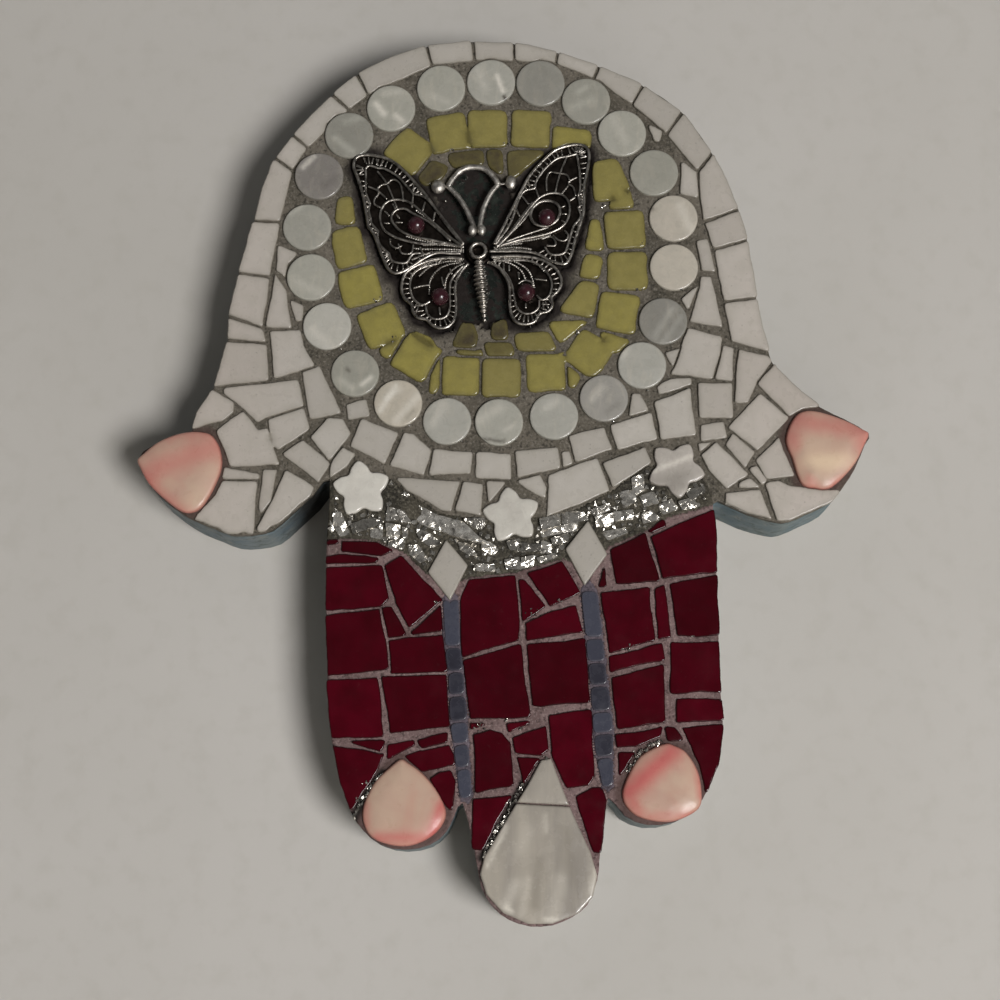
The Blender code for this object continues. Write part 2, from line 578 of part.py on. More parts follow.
def rim_tiles():
    """The rim course, its outer ends run past the board's edge, which trims them."""
    out = []
    for (ax, ay, bx, by), (cx, cy, dx, dy) in zip(RIM, RIM[1:]):
        near = [Vector(spot(bx, by)), Vector(spot(dx, dy))]
        far = [Vector(spot(ax, ay)), Vector(spot(cx, cy))]
        far = [n + (f - n) * (1 + RIM_OVERHANG / (f - n).length) for f, n in zip(far, near)]
        out.append((offset([near[0], far[0], far[1], near[1]], -JOINT / 2), FACE))
    return out


white_edge = outline_between((329, 478), (714, 502)) + path(WHITE_LINE)[::-1][1:-1]
field("white_mosaic", white_glass, white_edge,
      rim_tiles() + tiles(WHITE, TILE_THICK) + [(offset(disc_middles, GAP / 2), None)]
      + disc_holes + star_holes + [hole(drops["drop_thumb_left"]), hole(drops["drop_thumb_right"])]
      + [(path(flat), None) for flat in THUMB_TIPS])

# The butterfly's own shapes, which the green field is sunk to take
wings = [path(flat, RIM_TOP) for flat in WINGS]
loops = [path(flat, RIM_TOP) for flat in WING_LOOPS]
feelers = [ribbon(path(flat, RIM_TOP), RIM_WIDTH) for flat in (ANTENNA_ARCH, ANTENNA_LEFT, ANTENNA_RIGHT)]
links = [ribbon(path((*ball, *foot), RIM_TOP), RIM_WIDTH) for ball, foot in zip(ANTENNA_BALLS, ANTENNA_FEET)]
balls = [round_spot(spot(*p, RIM_TOP), BALL_RADIUS, BALL_SIDES) for p in ANTENNA_BALLS + HEAD_BALLS]
ring_middle = Vector(spot(*BUTTERFLY_RING[:2], BODY_TOP))
ring_outer, ring_inner = (round_spot(ring_middle, sketch_size(*BUTTERFLY_RING[:2], size), HOLE_SIDES)
                          for size in BUTTERFLY_RING[2:])
spine = path(BODY, BODY_TOP)
pearl_middles = [spot(*where, WING + PEARL_RADIUS) for where in PEARLS]


def body():
    """The butterfly's body, which narrows from head to tail."""
    sides = ([], [])
    for step in range(BODY_STEPS + 1):
        share = step / BODY_STEPS
        half = Vector((BODY_WIDTH / 2 * (1 - BODY_TAPER * share), 0))
        sides[0].append(tuple(along(spine, share) - half))
        sides[1].append(tuple(along(spine, share) + half))
    return sides[0] + sides[1][::-1]


def ribs():
    """Ribs across the body, narrower with it."""
    out = []
    for share in RIB_SHARES:
        middle = along(spine, share)
        half = RIB_WIDTH / 2 * (1 - BODY_TAPER * share)
        out.append([(middle.x + across * half, middle.y + up * RIB_HEIGHT / 2)
                    for across, up in ((-1, -1), (1, -1), (1, 1), (-1, 1))])
    return out


def inside_rim(shape):
    """The sunk floor within a wire rim, which stops short of the ring at the wing's root."""
    floor = offset(shape, -RIM_WIDTH)
    return [p for p in floor if (Vector(p) - ring_middle).length > WING_ROOT]


body_shape = body()
metal = [(shape, RIM_TOP) for shape in wings + feelers + links]
metal += [(inside_rim(shape), WING) for shape in wings]
metal += [(shape, RIM_TOP) for shape in loops]
metal += [(inside_rim(shape), WING) for shape in loops]
metal += [(shape, BODY_TOP) for shape in balls]
metal += [(body_shape, RIM_TOP)]
metal += [(shape, BODY_TOP) for shape in ribs()]
metal += [(ring_outer, BODY_TOP), (ring_inner, WING)]
metal += [(round_spot(middle, PEARL_RADIUS + GAP, PEARL_SIDES), WING) for middle in pearl_middles]
stepped("butterfly", silver, None, BUTTERFLY_BACK, None, metal)
for number, middle in enumerate(pearl_middles, 1):
    seat = WING + GAP
    dome(f"pearl_{number}", wine_pearl, round_spot(middle, PEARL_RADIUS, PEARL_SIDES), seat,
         seat + PEARL_SIDE, seat + PEARL_CROWN, 2)

glass_shapes = [path(flat, RIM_TOP) for flat in (GLASS_UPPER, GLASS_LOWER)]
for name, shape in zip(("dark_glass_upper", "dark_glass_lower"), glass_shapes):
    stepped(name, dark_glass, shape, BED, BED + GLASS_THICK)

sunk = wings + glass_shapes + balls[:2] + links + [ring_outer, body_shape]
squares = [(square(*where, GREEN_SIDE), FACE) for where in GREEN_SQUARES]
field("green_mosaic", green_glass, disc_middles,
      squares + tiles(GREEN_CUT, TILE_THICK)
      + [(offset(shape, RECESS_MARGIN), BED + RECESS_THICK) for shape in sunk]
      + disc_holes + [hole(shape) for shape in glass_shapes])


def shards():
    """Broken mirror laid in two ragged rows between the white and the red fields."""
    chance = random.Random(MIRROR_SEED)
    upper, lower = path(WHITE_LINE), path(MIRROR_LINE)
    grid = []
    for row in range(3):
        line = []
        for column in range(MIRROR_COLUMNS + 1):
            stray = chance.uniform(-0.3, 0.3) if 0 < column < MIRROR_COLUMNS else 0
            share = (column + stray) / MIRROR_COLUMNS
            depth = row / 2 + (chance.uniform(-0.16, 0.16) if row == 1 else 0)
            line.append(along(upper, share).lerp(along(lower, share), depth))
        grid.append(line)
    out = []
    for high, low in zip(grid, grid[1:]):
        for i in range(MIRROR_COLUMNS):
            rise = BED + SHARD_LOW + SHARD_STEP * chance.randint(0, 3)
            out.append((offset([high[i], high[i + 1], low[i + 1], low[i]], -JOINT * 0.4), rise))
    return out


field("mirror_band", mirror_glass, path(WHITE_LINE) + path(MIRROR_LINE)[::-1],
      shards() + star_holes + diamond_holes)


def blue_strip(name, sides):
    """A strip of narrow glass pieces, end to end."""
    left, right = path(sides[0]), path(sides[1])
    shares = (0.0,) + BLUE_JOINTS + (1.0,)
    pieces = []
    for start, end in zip(shares, shares[1:]):
        four = [along(left, start), along(right, start), along(right, end), along(left, end)]
        pieces.append((offset(four, -JOINT * 0.6), BED + BLUE_THICK))
    field(name, blue_glass, left + right[::-1], pieces + diamond_holes + [pear_hole])


blue_strip("blue_strip_left", BLUE_LEFT)
blue_strip("blue_strip_right", BLUE_RIGHT)

mirror_path = path(MIRROR_LINE)
left_edge = outline_between((462, 803), (326, 540)) + mirror_path[:5] + path(BLUE_LEFT[0])
middle_edge = (path(MIDDLE_TIP) + path(BLUE_LEFT[1])[::-1] + mirror_path[6:9] + path(BLUE_RIGHT[0])
               + path(MIDDLE_NOTCH))
right_edge = outline_between((714, 502), (609, 798))[1:] + path(BLUE_RIGHT[1])[::-1] + mirror_path[10:]
field("red_left", red_glass, left_edge,
      tiles(RED_LEFT, RED_THICK) + diamond_holes + [hole(drops["drop_finger_left"])])
field("red_middle", red_glass, middle_edge, tiles(RED_MIDDLE, RED_THICK) + diamond_holes + [pear_hole])
field("red_right", red_glass, right_edge,
      tiles(RED_RIGHT, RED_THICK) + diamond_holes + [hole(drops["drop_finger_right"]),
                                                     (path(FINGER_TIP), None)])
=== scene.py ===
"""Looks of the mosaic hamsa wall plaque: every tile, shell, shard and wire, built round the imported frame."""
import math
import random

import bpy
import numpy as np
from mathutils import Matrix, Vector, noise
from mathutils.geometry import delaunay_2d_cdt
from mathutils.kdtree import KDTree


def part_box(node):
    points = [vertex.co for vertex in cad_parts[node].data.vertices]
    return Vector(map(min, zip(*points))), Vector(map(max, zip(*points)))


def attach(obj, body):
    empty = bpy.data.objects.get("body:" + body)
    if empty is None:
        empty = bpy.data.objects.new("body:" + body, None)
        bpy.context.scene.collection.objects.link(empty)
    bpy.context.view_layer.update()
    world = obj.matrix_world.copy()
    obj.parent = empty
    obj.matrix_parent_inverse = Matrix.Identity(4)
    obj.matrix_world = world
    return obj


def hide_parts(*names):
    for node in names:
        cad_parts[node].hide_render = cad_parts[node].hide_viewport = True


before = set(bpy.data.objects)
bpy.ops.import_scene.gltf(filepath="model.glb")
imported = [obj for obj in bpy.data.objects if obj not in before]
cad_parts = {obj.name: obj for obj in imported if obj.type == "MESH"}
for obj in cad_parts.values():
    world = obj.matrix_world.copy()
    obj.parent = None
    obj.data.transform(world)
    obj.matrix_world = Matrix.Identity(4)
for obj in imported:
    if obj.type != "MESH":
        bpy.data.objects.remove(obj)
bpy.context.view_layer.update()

# Levels in front of the back, in metres, as the frame has them
BED = 0.0163
RECESS = 0.0176
GROUT = 0.0187
FACE = 0.0195
RIM = 0.0204
# Levels that only the looks have: the board's face, and the undersides of the loose tiles and of the wings
BOARD_TOP = 0.016
TILE_FOOT = 0.0178
PLATE_FOOT = 0.0180

# The view, which is also how places on the face are drawn
VIEW_FOCAL = 1722.0
VIEW_TILT = math.radians(10.0)
VIEW_CENTRE = (500.0, 600.0)
FRAME_PIXELS = 1000.0
SENSOR = 36.0
EYE = Vector((0.0, -0.4441, -0.1104))

MM = 0.001
VIEW_UNIT = 0.247 * MM  # what one unit of the view measures on the face
rng = random.Random(20)


# Camera
camera_data = bpy.data.cameras.new("camera")
camera = bpy.data.objects.new("camera", camera_data)
bpy.context.scene.collection.objects.link(camera)
camera.location = EYE
camera.rotation_euler = (math.radians(90) + VIEW_TILT, 0, 0)
camera_data.sensor_width = SENSOR
camera_data.lens = VIEW_FOCAL * SENSOR / FRAME_PIXELS
camera_data.shift_y = (VIEW_CENTRE[1] - FRAME_PIXELS / 2) / FRAME_PIXELS
camera_data.clip_start = 0.01
bpy.context.scene.camera = camera


def spot(across, down, level=FACE):
    """A place in the view's own units, as x and z on the plane that stands this far in front of the back."""
    x = (across - VIEW_CENTRE[0]) / VIEW_FOCAL
    z = (VIEW_CENTRE[1] - down) / VIEW_FOCAL
    cos, sin = math.cos(VIEW_TILT), math.sin(VIEW_TILT)
    way = Vector((x, cos - z * sin, sin + z * cos))
    reach = (-level - EYE.y) / way.y
    return Vector((EYE.x + reach * way.x, EYE.z + reach * way.z))


def line(flat, level=FACE):
    """View numbers, taken in twos, as points on a plane."""
    return [spot(flat[i], flat[i + 1], level) for i in range(0, len(flat), 2)]


# Outlines read from the frame
def area(loop):
    """The area of a flat loop, positive when it is anticlockwise."""
    a = np.asarray(loop)
    b = np.roll(a, -1, axis=0)
    return float((a[:, 0] * b[:, 1] - b[:, 0] * a[:, 1]).sum() / 2)


def chains(edges):
    """Directed edges joined into closed loops."""
    after = {}
    for a, b in edges:
        after.setdefault(a, []).append(b)
    loops = []
    while after:
        start = next(iter(after))
        here, loop = start, []
        while here in after:
            loop.append(here)
            nexts = after[here]
            step = nexts.pop()
            if not nexts:
                del after[here]
            here = step
            if here == start:
                break
        if len(loop) > 2:
            loops.append(loop)
    return loops


def flats(node, towards):
    """The node's faces that look this way along y, in connected groups: (level, outlines, outer first)."""
    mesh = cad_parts[node].data
    spots = [(round(v.co.x / MM, 3), round(v.co.z / MM, 3), round(-v.co.y / MM, 2))
             for v in mesh.vertices]
    faces = [tuple(spots[i] for i in p.vertices) for p in mesh.polygons if p.normal.y * towards > 0.98]
    owner = {}
    for number, face in enumerate(faces):
        for i, a in enumerate(face):
            owner.setdefault(frozenset((a, face[(i + 1) % len(face)])), []).append(number)
    group = list(range(len(faces)))

    def root(i):
        while group[i] != i:
            group[i] = group[group[i]]
            i = group[i]
        return i

    for sharers in owner.values():
        for other in sharers[1:]:
            group[root(other)] = root(sharers[0])
    edges = {}
    for number, face in enumerate(faces):
        for i, a in enumerate(face):
            b = face[(i + 1) % len(face)]
            if len(owner[frozenset((a, b))]) == 1:
                edges.setdefault(root(number), []).append((a, b))
    out = []
    for bound in edges.values():
        loops = sorted(chains(bound), key=lambda loop: -abs(area([p[:2] for p in loop])))
        level = loops[0][0][2] * MM
        out.append((level, [np.array([p[:2] for p in loop]) * MM for loop in loops]))
    return out


def wound(loop):
    """The loop, anticlockwise."""
    return np.asarray(loop) if area(loop) > 0 else np.asarray(loop)[::-1]


def back_outline(node):
    """The outline of the node's back, anticlockwise from the front."""
    groups = flats(node, 1)
    return wound(max((g[1][0] for g in groups), key=lambda loop: abs(area(loop))))


def raised(node, above):
    """Outlines and levels of the node's faces that stand above a level."""
    return [(level, wound(loops[0])) for level, loops in flats(node, -1) if level > above]


# Flat geometry
def inside(points, loop):
    """Which points lie inside the loop."""
    x, y = points[:, 0][:, None], points[:, 1][:, None]
    a, b = loop, np.roll(loop, -1, axis=0)
    over = (a[:, 1] > y) != (b[:, 1] > y)
    with np.errstate(divide="ignore", invalid="ignore"):
        cross = (b[:, 0] - a[:, 0]) * (y - a[:, 1]) / (b[:, 1] - a[:, 1]) + a[:, 0]
    return ((over & (x < cross)).sum(1) % 2) == 1


def reach(points, loop):
    """Distance from each point to the loop."""
    a, b = loop, np.roll(loop, -1, axis=0)
    span = b - a
    size = np.maximum((span ** 2).sum(1), 1e-18)
    gap = points[:, None, :] - a[None]
    share = np.clip((gap * span).sum(2) / size, 0, 1)
    return np.sqrt(((gap - share[..., None] * span) ** 2).sum(2)).min(1)


def outward(loop):
    """Unit normals of an anticlockwise loop at its points."""
    way = np.roll(loop, -1, axis=0) - np.roll(loop, 1, axis=0)
    way /= np.maximum(np.linalg.norm(way, axis=1), 1e-12)[:, None]
    return np.stack([way[:, 1], -way[:, 0]], axis=1)


def nipped(loop, corner=0.4 * MM, step=0.8 * MM, wobble=0.07 * MM, seed=0.0, sway=0.0):
    """The outline with its corners rounded and its edges a little uneven, as a hand-cut piece has them."""
    loop = wound(loop)
    out = []
    count = len(loop)
    for i in range(count):
        before, here, after = loop[i - 1], loop[i], loop[(i + 1) % count]
        first, second = before - here, after - here
        len1, len2 = np.linalg.norm(first), np.linalg.norm(second)
        if len1 < 1e-7 or len2 < 1e-7:
            continue
        turn = 1 + float(first @ second) / (len1 * len2)
        size = min(corner, 0.38 * len1, 0.38 * len2)
        if turn < 0.06:
            out.append(here)
            continue
        start, end = here + first / len1 * size, here + second / len2 * size
        out += [start, (start + 2 * here + end) / 4, end]
    full = []
    for i, here in enumerate(out):
        after = out[(i + 1) % len(out)]
        span = np.linalg.norm(after - here)
        pieces = max(1, int(math.ceil(span / step)))
        full += [here + (after - here) * k / pieces for k in range(pieces)]
    full = np.array(full)
    push = np.array([noise.noise((p[0] * 420 + seed, p[1] * 420, seed))
                     + 0.5 * noise.noise((p[0] * 1300, p[1] * 1300 + seed, seed)) for p in full])
    slow = np.array([noise.noise((p[0] * 130, p[1] * 130 + seed, seed + 4)) for p in full])
    return full + outward(full) * (push * wobble + slow * sway)[:, None]


def curved(loop, pieces=3, sharp=()):
    """A closed smooth curve through the points."""
    loop = np.asarray(loop)
    out = []
    count = len(loop)
    for i in range(count):
        p0, p1, p2, p3 = (loop[(i + k) % count] for k in (-1, 0, 1, 2))
        start = (p2 - p0) / 2 * (0 if i in sharp else 1)
        end = (p3 - p1) / 2 * (0 if (i + 1) % count in sharp else 1)
        for k in range(pieces):
            t = k / pieces
            out.append((2 * t**3 - 3 * t**2 + 1) * p1 + (t**3 - 2 * t**2 + t) * start
                       + (3 * t**2 - 2 * t**3) * p2 + (t**3 - t**2) * end)
    return np.array(out)


def tree_of(points):
    """A search tree over flat points."""
    tree = KDTree(len(points))
    for i, p in enumerate(points):
        tree.insert((p[0], p[1], 0), i)
    tree.balance()
    return tree


def shut(faces, count):
    """A solid's faces from those of its front. Its back has the same points, count places further on."""
    front = [tuple(face) for face in faces]
    bound = {(a, b) for face in front for a, b in zip(face, face[1:] + face[:1])}
    return (front + [tuple(count + i for i in reversed(face)) for face in front]
            + [(b, a, count + a, count + b) for a, b in bound if (b, a) not in bound])


def cut_flat(spots, loops):
    """Flat points joined into faces that keep to the loops: points, faces, and the loops that hold each."""
    points = [Vector(p) / MM for p in spots]
    flat, _, faces, _, _, sources = delaunay_2d_cdt(points, [], loops, 1, 1e-4)
    return np.array([tuple(p) for p in flat]) * MM, faces, sources


class Sheets:
    """Vertices, faces and named values of a piece, gathered before it becomes a mesh."""

    def __init__(self):
        self.points, self.faces, self.values = [], [], {}

    def add(self, points, faces, **values):
        start = len(self.points)
        self.points += [tuple(p) for p in points]
        self.faces += [tuple(start + i for i in face) for face in faces]
        for name, value in values.items():
            held = self.values.setdefault(name, [])
            held += [0.0] * (start - len(held))
            held += list(value) if hasattr(value, "__len__") else [value] * len(points)

    def piece(self, name, look, slot, nodes=(), smooth=True):
        """The gathered mesh as a piece of the scene."""
        mesh = bpy.data.meshes.new(name)
        mesh.from_pydata(self.points, [], self.faces)
        mesh.validate()
        for key, held in self.values.items():
            held += [0.0] * (len(mesh.vertices) - len(held))
            mesh.attributes.new(key, "FLOAT", "POINT").data.foreach_set("value", held)
        mesh.shade_smooth() if smooth else mesh.shade_flat()
        mesh.materials.append(look)
        made = bpy.data.objects.new(name, mesh)
        bpy.context.scene.collection.objects.link(made)
        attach(made, "root")
        if nodes:
            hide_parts(*nodes)
        return made


def slab(sheets, edge, low, top, bevel=0.3 * MM, bulge=0.0, bulge_width=2 * MM, tilt=0.008, wave=0.02 * MM,
         grid=1.3 * MM, tone=None, **values):
    """A thin piece cut to an outline: upright sides, a rounded edge and a slightly uneven top."""
    edge = wound(edge)
    normals = outward(edge)
    rings = [edge]
    for inset in (0.25 * bevel, 0.62 * bevel, 1.15 * bevel, 2.6 * bevel):
        moved = edge - normals * inset
        moved = moved[inside(moved, edge)]
        if len(moved):
            moved = moved[reach(moved, edge) > 0.9 * inset]
        if len(moved) and inset > bevel * 2:
            moved = moved[::2]
        rings.append(moved.reshape(-1, 2))
    low_corner, high_corner = edge.min(0), edge.max(0)
    xs = np.arange(low_corner[0], high_corner[0], grid)
    ys = np.arange(low_corner[1], high_corner[1], grid)
    mesh = np.array([(x, y) for x in xs for y in ys]).reshape(-1, 2)
    shift = np.array([(rng.uniform(-1, 1), rng.uniform(-1, 1)) for _ in mesh]).reshape(-1, 2)
    mesh = mesh + shift * grid * 0.25
    mesh = mesh[inside(mesh, edge)] if len(mesh) else mesh
    mesh = mesh[reach(mesh, edge) > 3.6 * bevel] if len(mesh) else mesh
    flat, faces, _ = cut_flat(np.vstack(rings + [mesh]), [list(range(len(edge)))])
    gap = reach(flat, edge)
    gap[gap < 1e-6] = 0
    t = 1 - np.clip(gap / bevel, 0, 1)
    drop = bevel * 0.8 * (1 - np.sqrt(np.maximum(1 - t * t, 0)))
    swell = bulge * (1 - (1 - np.clip(gap / bulge_width, 0, 1)) ** 2)
    middle = edge.mean(0)
    lean = (rng.uniform(-tilt, tilt), rng.uniform(-tilt, tilt))
    seed = rng.uniform(0, 50)
    uneven = np.array([noise.noise((p[0] * 330, p[1] * 330, seed)) for p in flat])
    height = top - bulge - drop + swell + (flat - middle) @ np.array(lean) + uneven * wave
    tone = rng.random() if tone is None else tone
    points = [(p[0], -h, p[1]) for p, h in zip(flat, height)]
    count = len(points)
    sides = {(f[i], f[(i + 1) % len(f)]): True for f in faces for i in range(len(f))}
    rim = {a: b for (a, b) in sides if (b, a) not in sides}
    order, here = [], next(iter(rim))
    while here in rim:
        order.append(here)
        here = rim.pop(here)
    faces = list(faces)
    points += [(points[i][0], -low, points[i][2]) for i in order]
    for k, a in enumerate(order):
        after = (k + 1) % len(order)
        faces.append((count + k, count + after, order[after], a))
    faces.append(tuple(range(count + len(order) - 1, count - 1, -1)))
    edge_value = list(np.clip(gap / (1.2 * MM), 0, 1)) + [0.0] * len(order)
    sheets.add(points, faces, tone=tone, edge=edge_value, **values)


# Materials
def linear(red, green, blue):
    """A colour given in levels of 0 to 255, as the shaders take it."""
    return tuple(((c / 255 + 0.055) / 1.055) ** 2.4 for c in (red, green, blue))


class Look:
    """A material that is put together node by node."""

    def __init__(self, name, rough, **sockets):
        self.mat = bpy.data.materials.new(name)
        self.mat.use_nodes = True
        self.tree = self.mat.node_tree
        self.shader = self.tree.nodes["Principled BSDF"]
        self.shader.inputs["Roughness"].default_value = rough
        for key, value in sockets.items():
            self.shader.inputs[key.replace("_", " ")].default_value = value
        self.place = self.tree.nodes.new("ShaderNodeTexCoord").outputs["Object"]

    def node(self, kind, links=(), **settings):
        made = self.tree.nodes.new(kind)
        for key, value in settings.items():
            setattr(made, key, value)
        for socket, value in links:
            target = made.inputs[socket]
            if isinstance(value, bpy.types.NodeSocket):
                self.tree.links.new(value, target)
            else:
                target.default_value = value
        return made

    def stretched(self, scale):
        return self.node("ShaderNodeMapping", (("Vector", self.place), ("Scale", scale))).outputs[0]

    def noise(self, scale, detail=3.0, rough=0.5, warp=0.0, stretch=None):
        where = self.stretched(stretch) if stretch else self.place
        return self.node("ShaderNodeTexNoise", (("Vector", where), ("Scale", scale), ("Detail", detail),
                                                ("Roughness", rough), ("Distortion", warp))).outputs["Fac"]

    def value(self, name):
        return self.node("ShaderNodeAttribute", attribute_name=name).outputs["Fac"]

    def math(self, kind, a, b=0.5, c=None):
        links = [(0, a), (1, b)] + ([(2, c)] if c is not None else [])
        return self.node("ShaderNodeMath", links, operation=kind).outputs[0]

    def fit(self, value, low, high, to_low=0.0, to_high=1.0):
        return self.node("ShaderNodeMapRange", (("Value", value), ("From Min", low), ("From Max", high),
                                                ("To Min", to_low), ("To Max", to_high))).outputs[0]

    def mix(self, share, a, b):
        a, b = (v if isinstance(v, bpy.types.NodeSocket) else (*v, 1) for v in (a, b))
        return self.node("ShaderNodeMix", ((0, share), (6, a), (7, b)), data_type="RGBA").outputs[2]

    def patches(self, field, low, high, share, base, tint):
        """The base with patches of a tint, where a field lies between two values and above them."""
        return self.mix(self.fit(field, low, high, 0, share), base, tint)

    def gloss(self, scale, low, high, detail=3.0):
        """Roughness that drifts between two values."""
        return self.fit(self.noise(scale, detail), 0.3, 0.7, low, high)

    def near_edge(self, width, share):
        """How far an edge tint shows: this share at a piece's edge, none at this width from it."""
        return self.fit(self.value("edge"), 0.0, width, share, 0.0)

    def axis(self, name):
        return self.node("ShaderNodeSeparateXYZ", ((0, self.place),)).outputs[name]

    def finish(self, colour, rough=None, bumps=()):
        self.tree.links.new(colour, self.shader.inputs["Base Color"])
        if rough is not None:
            self.tree.links.new(rough, self.shader.inputs["Roughness"])
        before = None
        for height, strength, distance in bumps:
            links = [("Height", height), ("Strength", strength), ("Distance", distance)]
            if before is not None:
                links.append(("Normal", before))
            before = self.node("ShaderNodeBump", links).outputs[0]
        if before is not None:
            self.tree.links.new(before, self.shader.inputs["Normal"])
        return self.mat


def white_look():
    m = Look("glaze_white", 0.3, Coat_Weight=0.15, Coat_Roughness=0.15)
    tone = m.value("tone")
    base = m.mix(tone, linear(180, 174, 165), linear(196, 190, 181))
    side = m.fit(m.math("ABSOLUTE", m.axis("X")), 0.045, 0.085)
    warm = m.mix(m.math("MULTIPLY", side, 0.5), base, linear(208, 194, 184))
    mottle = m.patches(m.noise(260, 4), 0.4, 0.7, 0.35, warm, linear(178, 172, 160))
    soft = m.mix(m.near_edge(0.95, 0.5), mottle, linear(146, 140, 128))
    colour = m.mix(m.near_edge(0.3, 0.5), soft, linear(122, 116, 104))
    pits = m.fit(m.noise(1500, 2), 0.68, 0.75)
    colour = m.mix(m.math("MULTIPLY", pits, 0.4), colour, linear(110, 104, 94))
    rough = m.gloss(420, 0.22, 0.42)
    return m.finish(colour, rough, ((m.noise(300, 3), 0.25, 0.0003),))


def green_look():
    m = Look("olive_glass", 0.28, Coat_Weight=0.2, Coat_Roughness=0.12)
    base = m.mix(m.value("tone"), linear(143, 133, 80), linear(156, 146, 78))
    # Painted shade: pieces near the butterfly are darkened by their "dull" value, as if in its shadow.
    base = m.mix(m.value("dull"), base, linear(75, 67, 50))
    cloud = m.patches(m.noise(380, 4), 0.38, 0.68, 0.4, base, linear(124, 116, 68))
    soft = m.mix(m.near_edge(1.0, 0.6), cloud, linear(104, 96, 52))
    colour = m.mix(m.near_edge(0.35, 0.5), soft, linear(74, 68, 40))
    rough = m.gloss(500, 0.18, 0.36, 2)
    return m.finish(colour, rough, ((m.noise(350, 3), 0.3, 0.0004),))


def red_look():
    m = Look("wine_glass", 0.12, Coat_Weight=0.1, Coat_Roughness=0.06, Specular_IOR_Level=0.28)
    base = m.mix(m.value("tone"), linear(60, 1, 13), linear(82, 2, 21))
    cloud = m.patches(m.noise(160, 3), 0.4, 0.7, 0.5, base, linear(50, 1, 8))
    # Painted shade: each tile is darkened near its edge, for the dark rim that the light through the glass
    # leaves there.
    edge = m.near_edge(0.4, 0.75)
    colour = m.mix(edge, cloud, linear(26, 2, 5))
    haze = m.fit(m.noise(900, 4), 0.66, 0.74, 0, 0.05)
    colour = m.mix(haze, colour, linear(104, 84, 84))
    rough = m.gloss(240, 0.08, 0.24)
    return m.finish(colour, rough, ((m.noise(140, 2), 0.35, 0.0007),))


def blue_look():
    m = Look("slate_glass", 0.22, Coat_Weight=0.2, Coat_Roughness=0.1)
    base = m.mix(m.value("tone"), linear(49, 48, 57), linear(75, 77, 90))
    cloud = m.patches(m.noise(300, 3), 0.4, 0.7, 0.35, base, linear(64, 65, 77))
    edge = m.near_edge(0.5, 0.5)
    colour = m.mix(edge, cloud, linear(86, 83, 92))
    return m.finish(colour, m.gloss(600, 0.16, 0.36, 2), ((m.noise(400, 2), 0.3, 0.0004),))


def grout_look(name, pale, deep, grit):
    m = Look(name, 0.85, Specular_IOR_Level=0.3)
    base = m.mix(m.fit(m.noise(120, 5, 0.6), 0.35, 0.65), deep, pale)
    grain = m.patches(m.noise(1500, 4, 0.75), 0.5, 0.72, 0.8, base, grit)
    dark = m.patches(m.noise(1100, 3, 0.7), 0.53, 0.66, 0.75, grain, tuple(c * 0.3 for c in deep))
    rusty = m.mix(m.math("MULTIPLY", m.value("rust"), 0.75), dark, linear(82, 62, 57))
    # Painted shade: by its "dark" value the grout is darkened in the recess under the butterfly and round its
    # wings; it also darkens the grout under the foil lines.
    colour = m.mix(m.value("dark"), rusty, linear(36, 30, 27))
    rough = m.gloss(800, 0.7, 0.95, 2)
    return m.finish(colour, rough, ((m.noise(1900, 4, 0.7), 0.7, 0.0003), (m.noise(420, 3), 0.4, 0.0004)))


def mirror_look():
    m = Look("silvered_glass", 0.2, Metallic=0.75)
    base = m.mix(m.value("tone"), (0.17, 0.158, 0.135), (0.82, 0.78, 0.71))
    stain = m.patches(m.noise(700, 4, 0.6), 0.5, 0.7, 0.8, base, (0.11, 0.10, 0.085))
    rough = m.gloss(900, 0.06, 0.3)
    creases = ((m.noise(900, 3, 0.6, 1.5), 0.3, 0.0004), (m.noise(420, 2, 0.5, 1.0), 0.4, 0.0008))
    return m.finish(stain, rough, creases)


def dark_look():
    m = Look("bottle_glass", 0.14, Coat_Weight=0.3, Coat_Roughness=0.08)
    base = m.mix(m.fit(m.noise(220, 4, 0.6, 1.0), 0.4, 0.65), linear(26, 30, 27), linear(46, 51, 46))
    spots = m.patches(m.noise(900, 3), 0.62, 0.72, 0.5, base, linear(72, 74, 68))
    return m.finish(spots, m.gloss(300, 0.08, 0.3, 2), ((m.noise(260, 3), 0.6, 0.0008),))


def shell_look(name, first, second, third, fourth):
    """Cut shell: cloudy bands under a glossy face. The piece's tone says which of four tints it shows."""
    m = Look(name, 0.28, Coat_Weight=0.35, Coat_Roughness=0.12)
    tone = m.value("tone")
    left = m.mix(m.fit(tone, 0.0, 0.33), first, second)
    right = m.mix(m.fit(tone, 0.33, 0.66), left, third)
    base = m.mix(m.fit(tone, 0.66, 1.0), right, fourth)
    cloud = m.noise(150, 3, 0.5, 2.5)
    clouded = m.mix(m.fit(cloud, 0.35, 0.7, 0, 0.3), base, tuple(min(c * 0.8, 1) for c in first))
    bands = m.noise(300, 2, 0.5, 1.6, (1.0, 1.0, 0.4))
    banded = m.mix(m.fit(bands, 0.5, 0.75, 0, 0.2), clouded, tuple(min(c * 1.25, 1) for c in fourth))
    edge = m.near_edge(0.3, 0.35)
    shine = m.mix(m.fit(m.value("mark"), 0.0, 1.0), banded, linear(232, 226, 214))
    nick = m.mix(m.fit(m.value("mark"), 0.0, -1.0), shine, linear(74, 68, 60))
    colour = m.mix(edge, nick, tuple(c * 0.55 for c in first))
    rough = m.fit(m.noise(420, 3, 0.5, 1.0), 0.3, 0.7, 0.18, 0.4)
    return m.finish(colour, rough, ((bands, 0.12, 0.0003), (m.noise(180, 2), 0.2, 0.0006)))


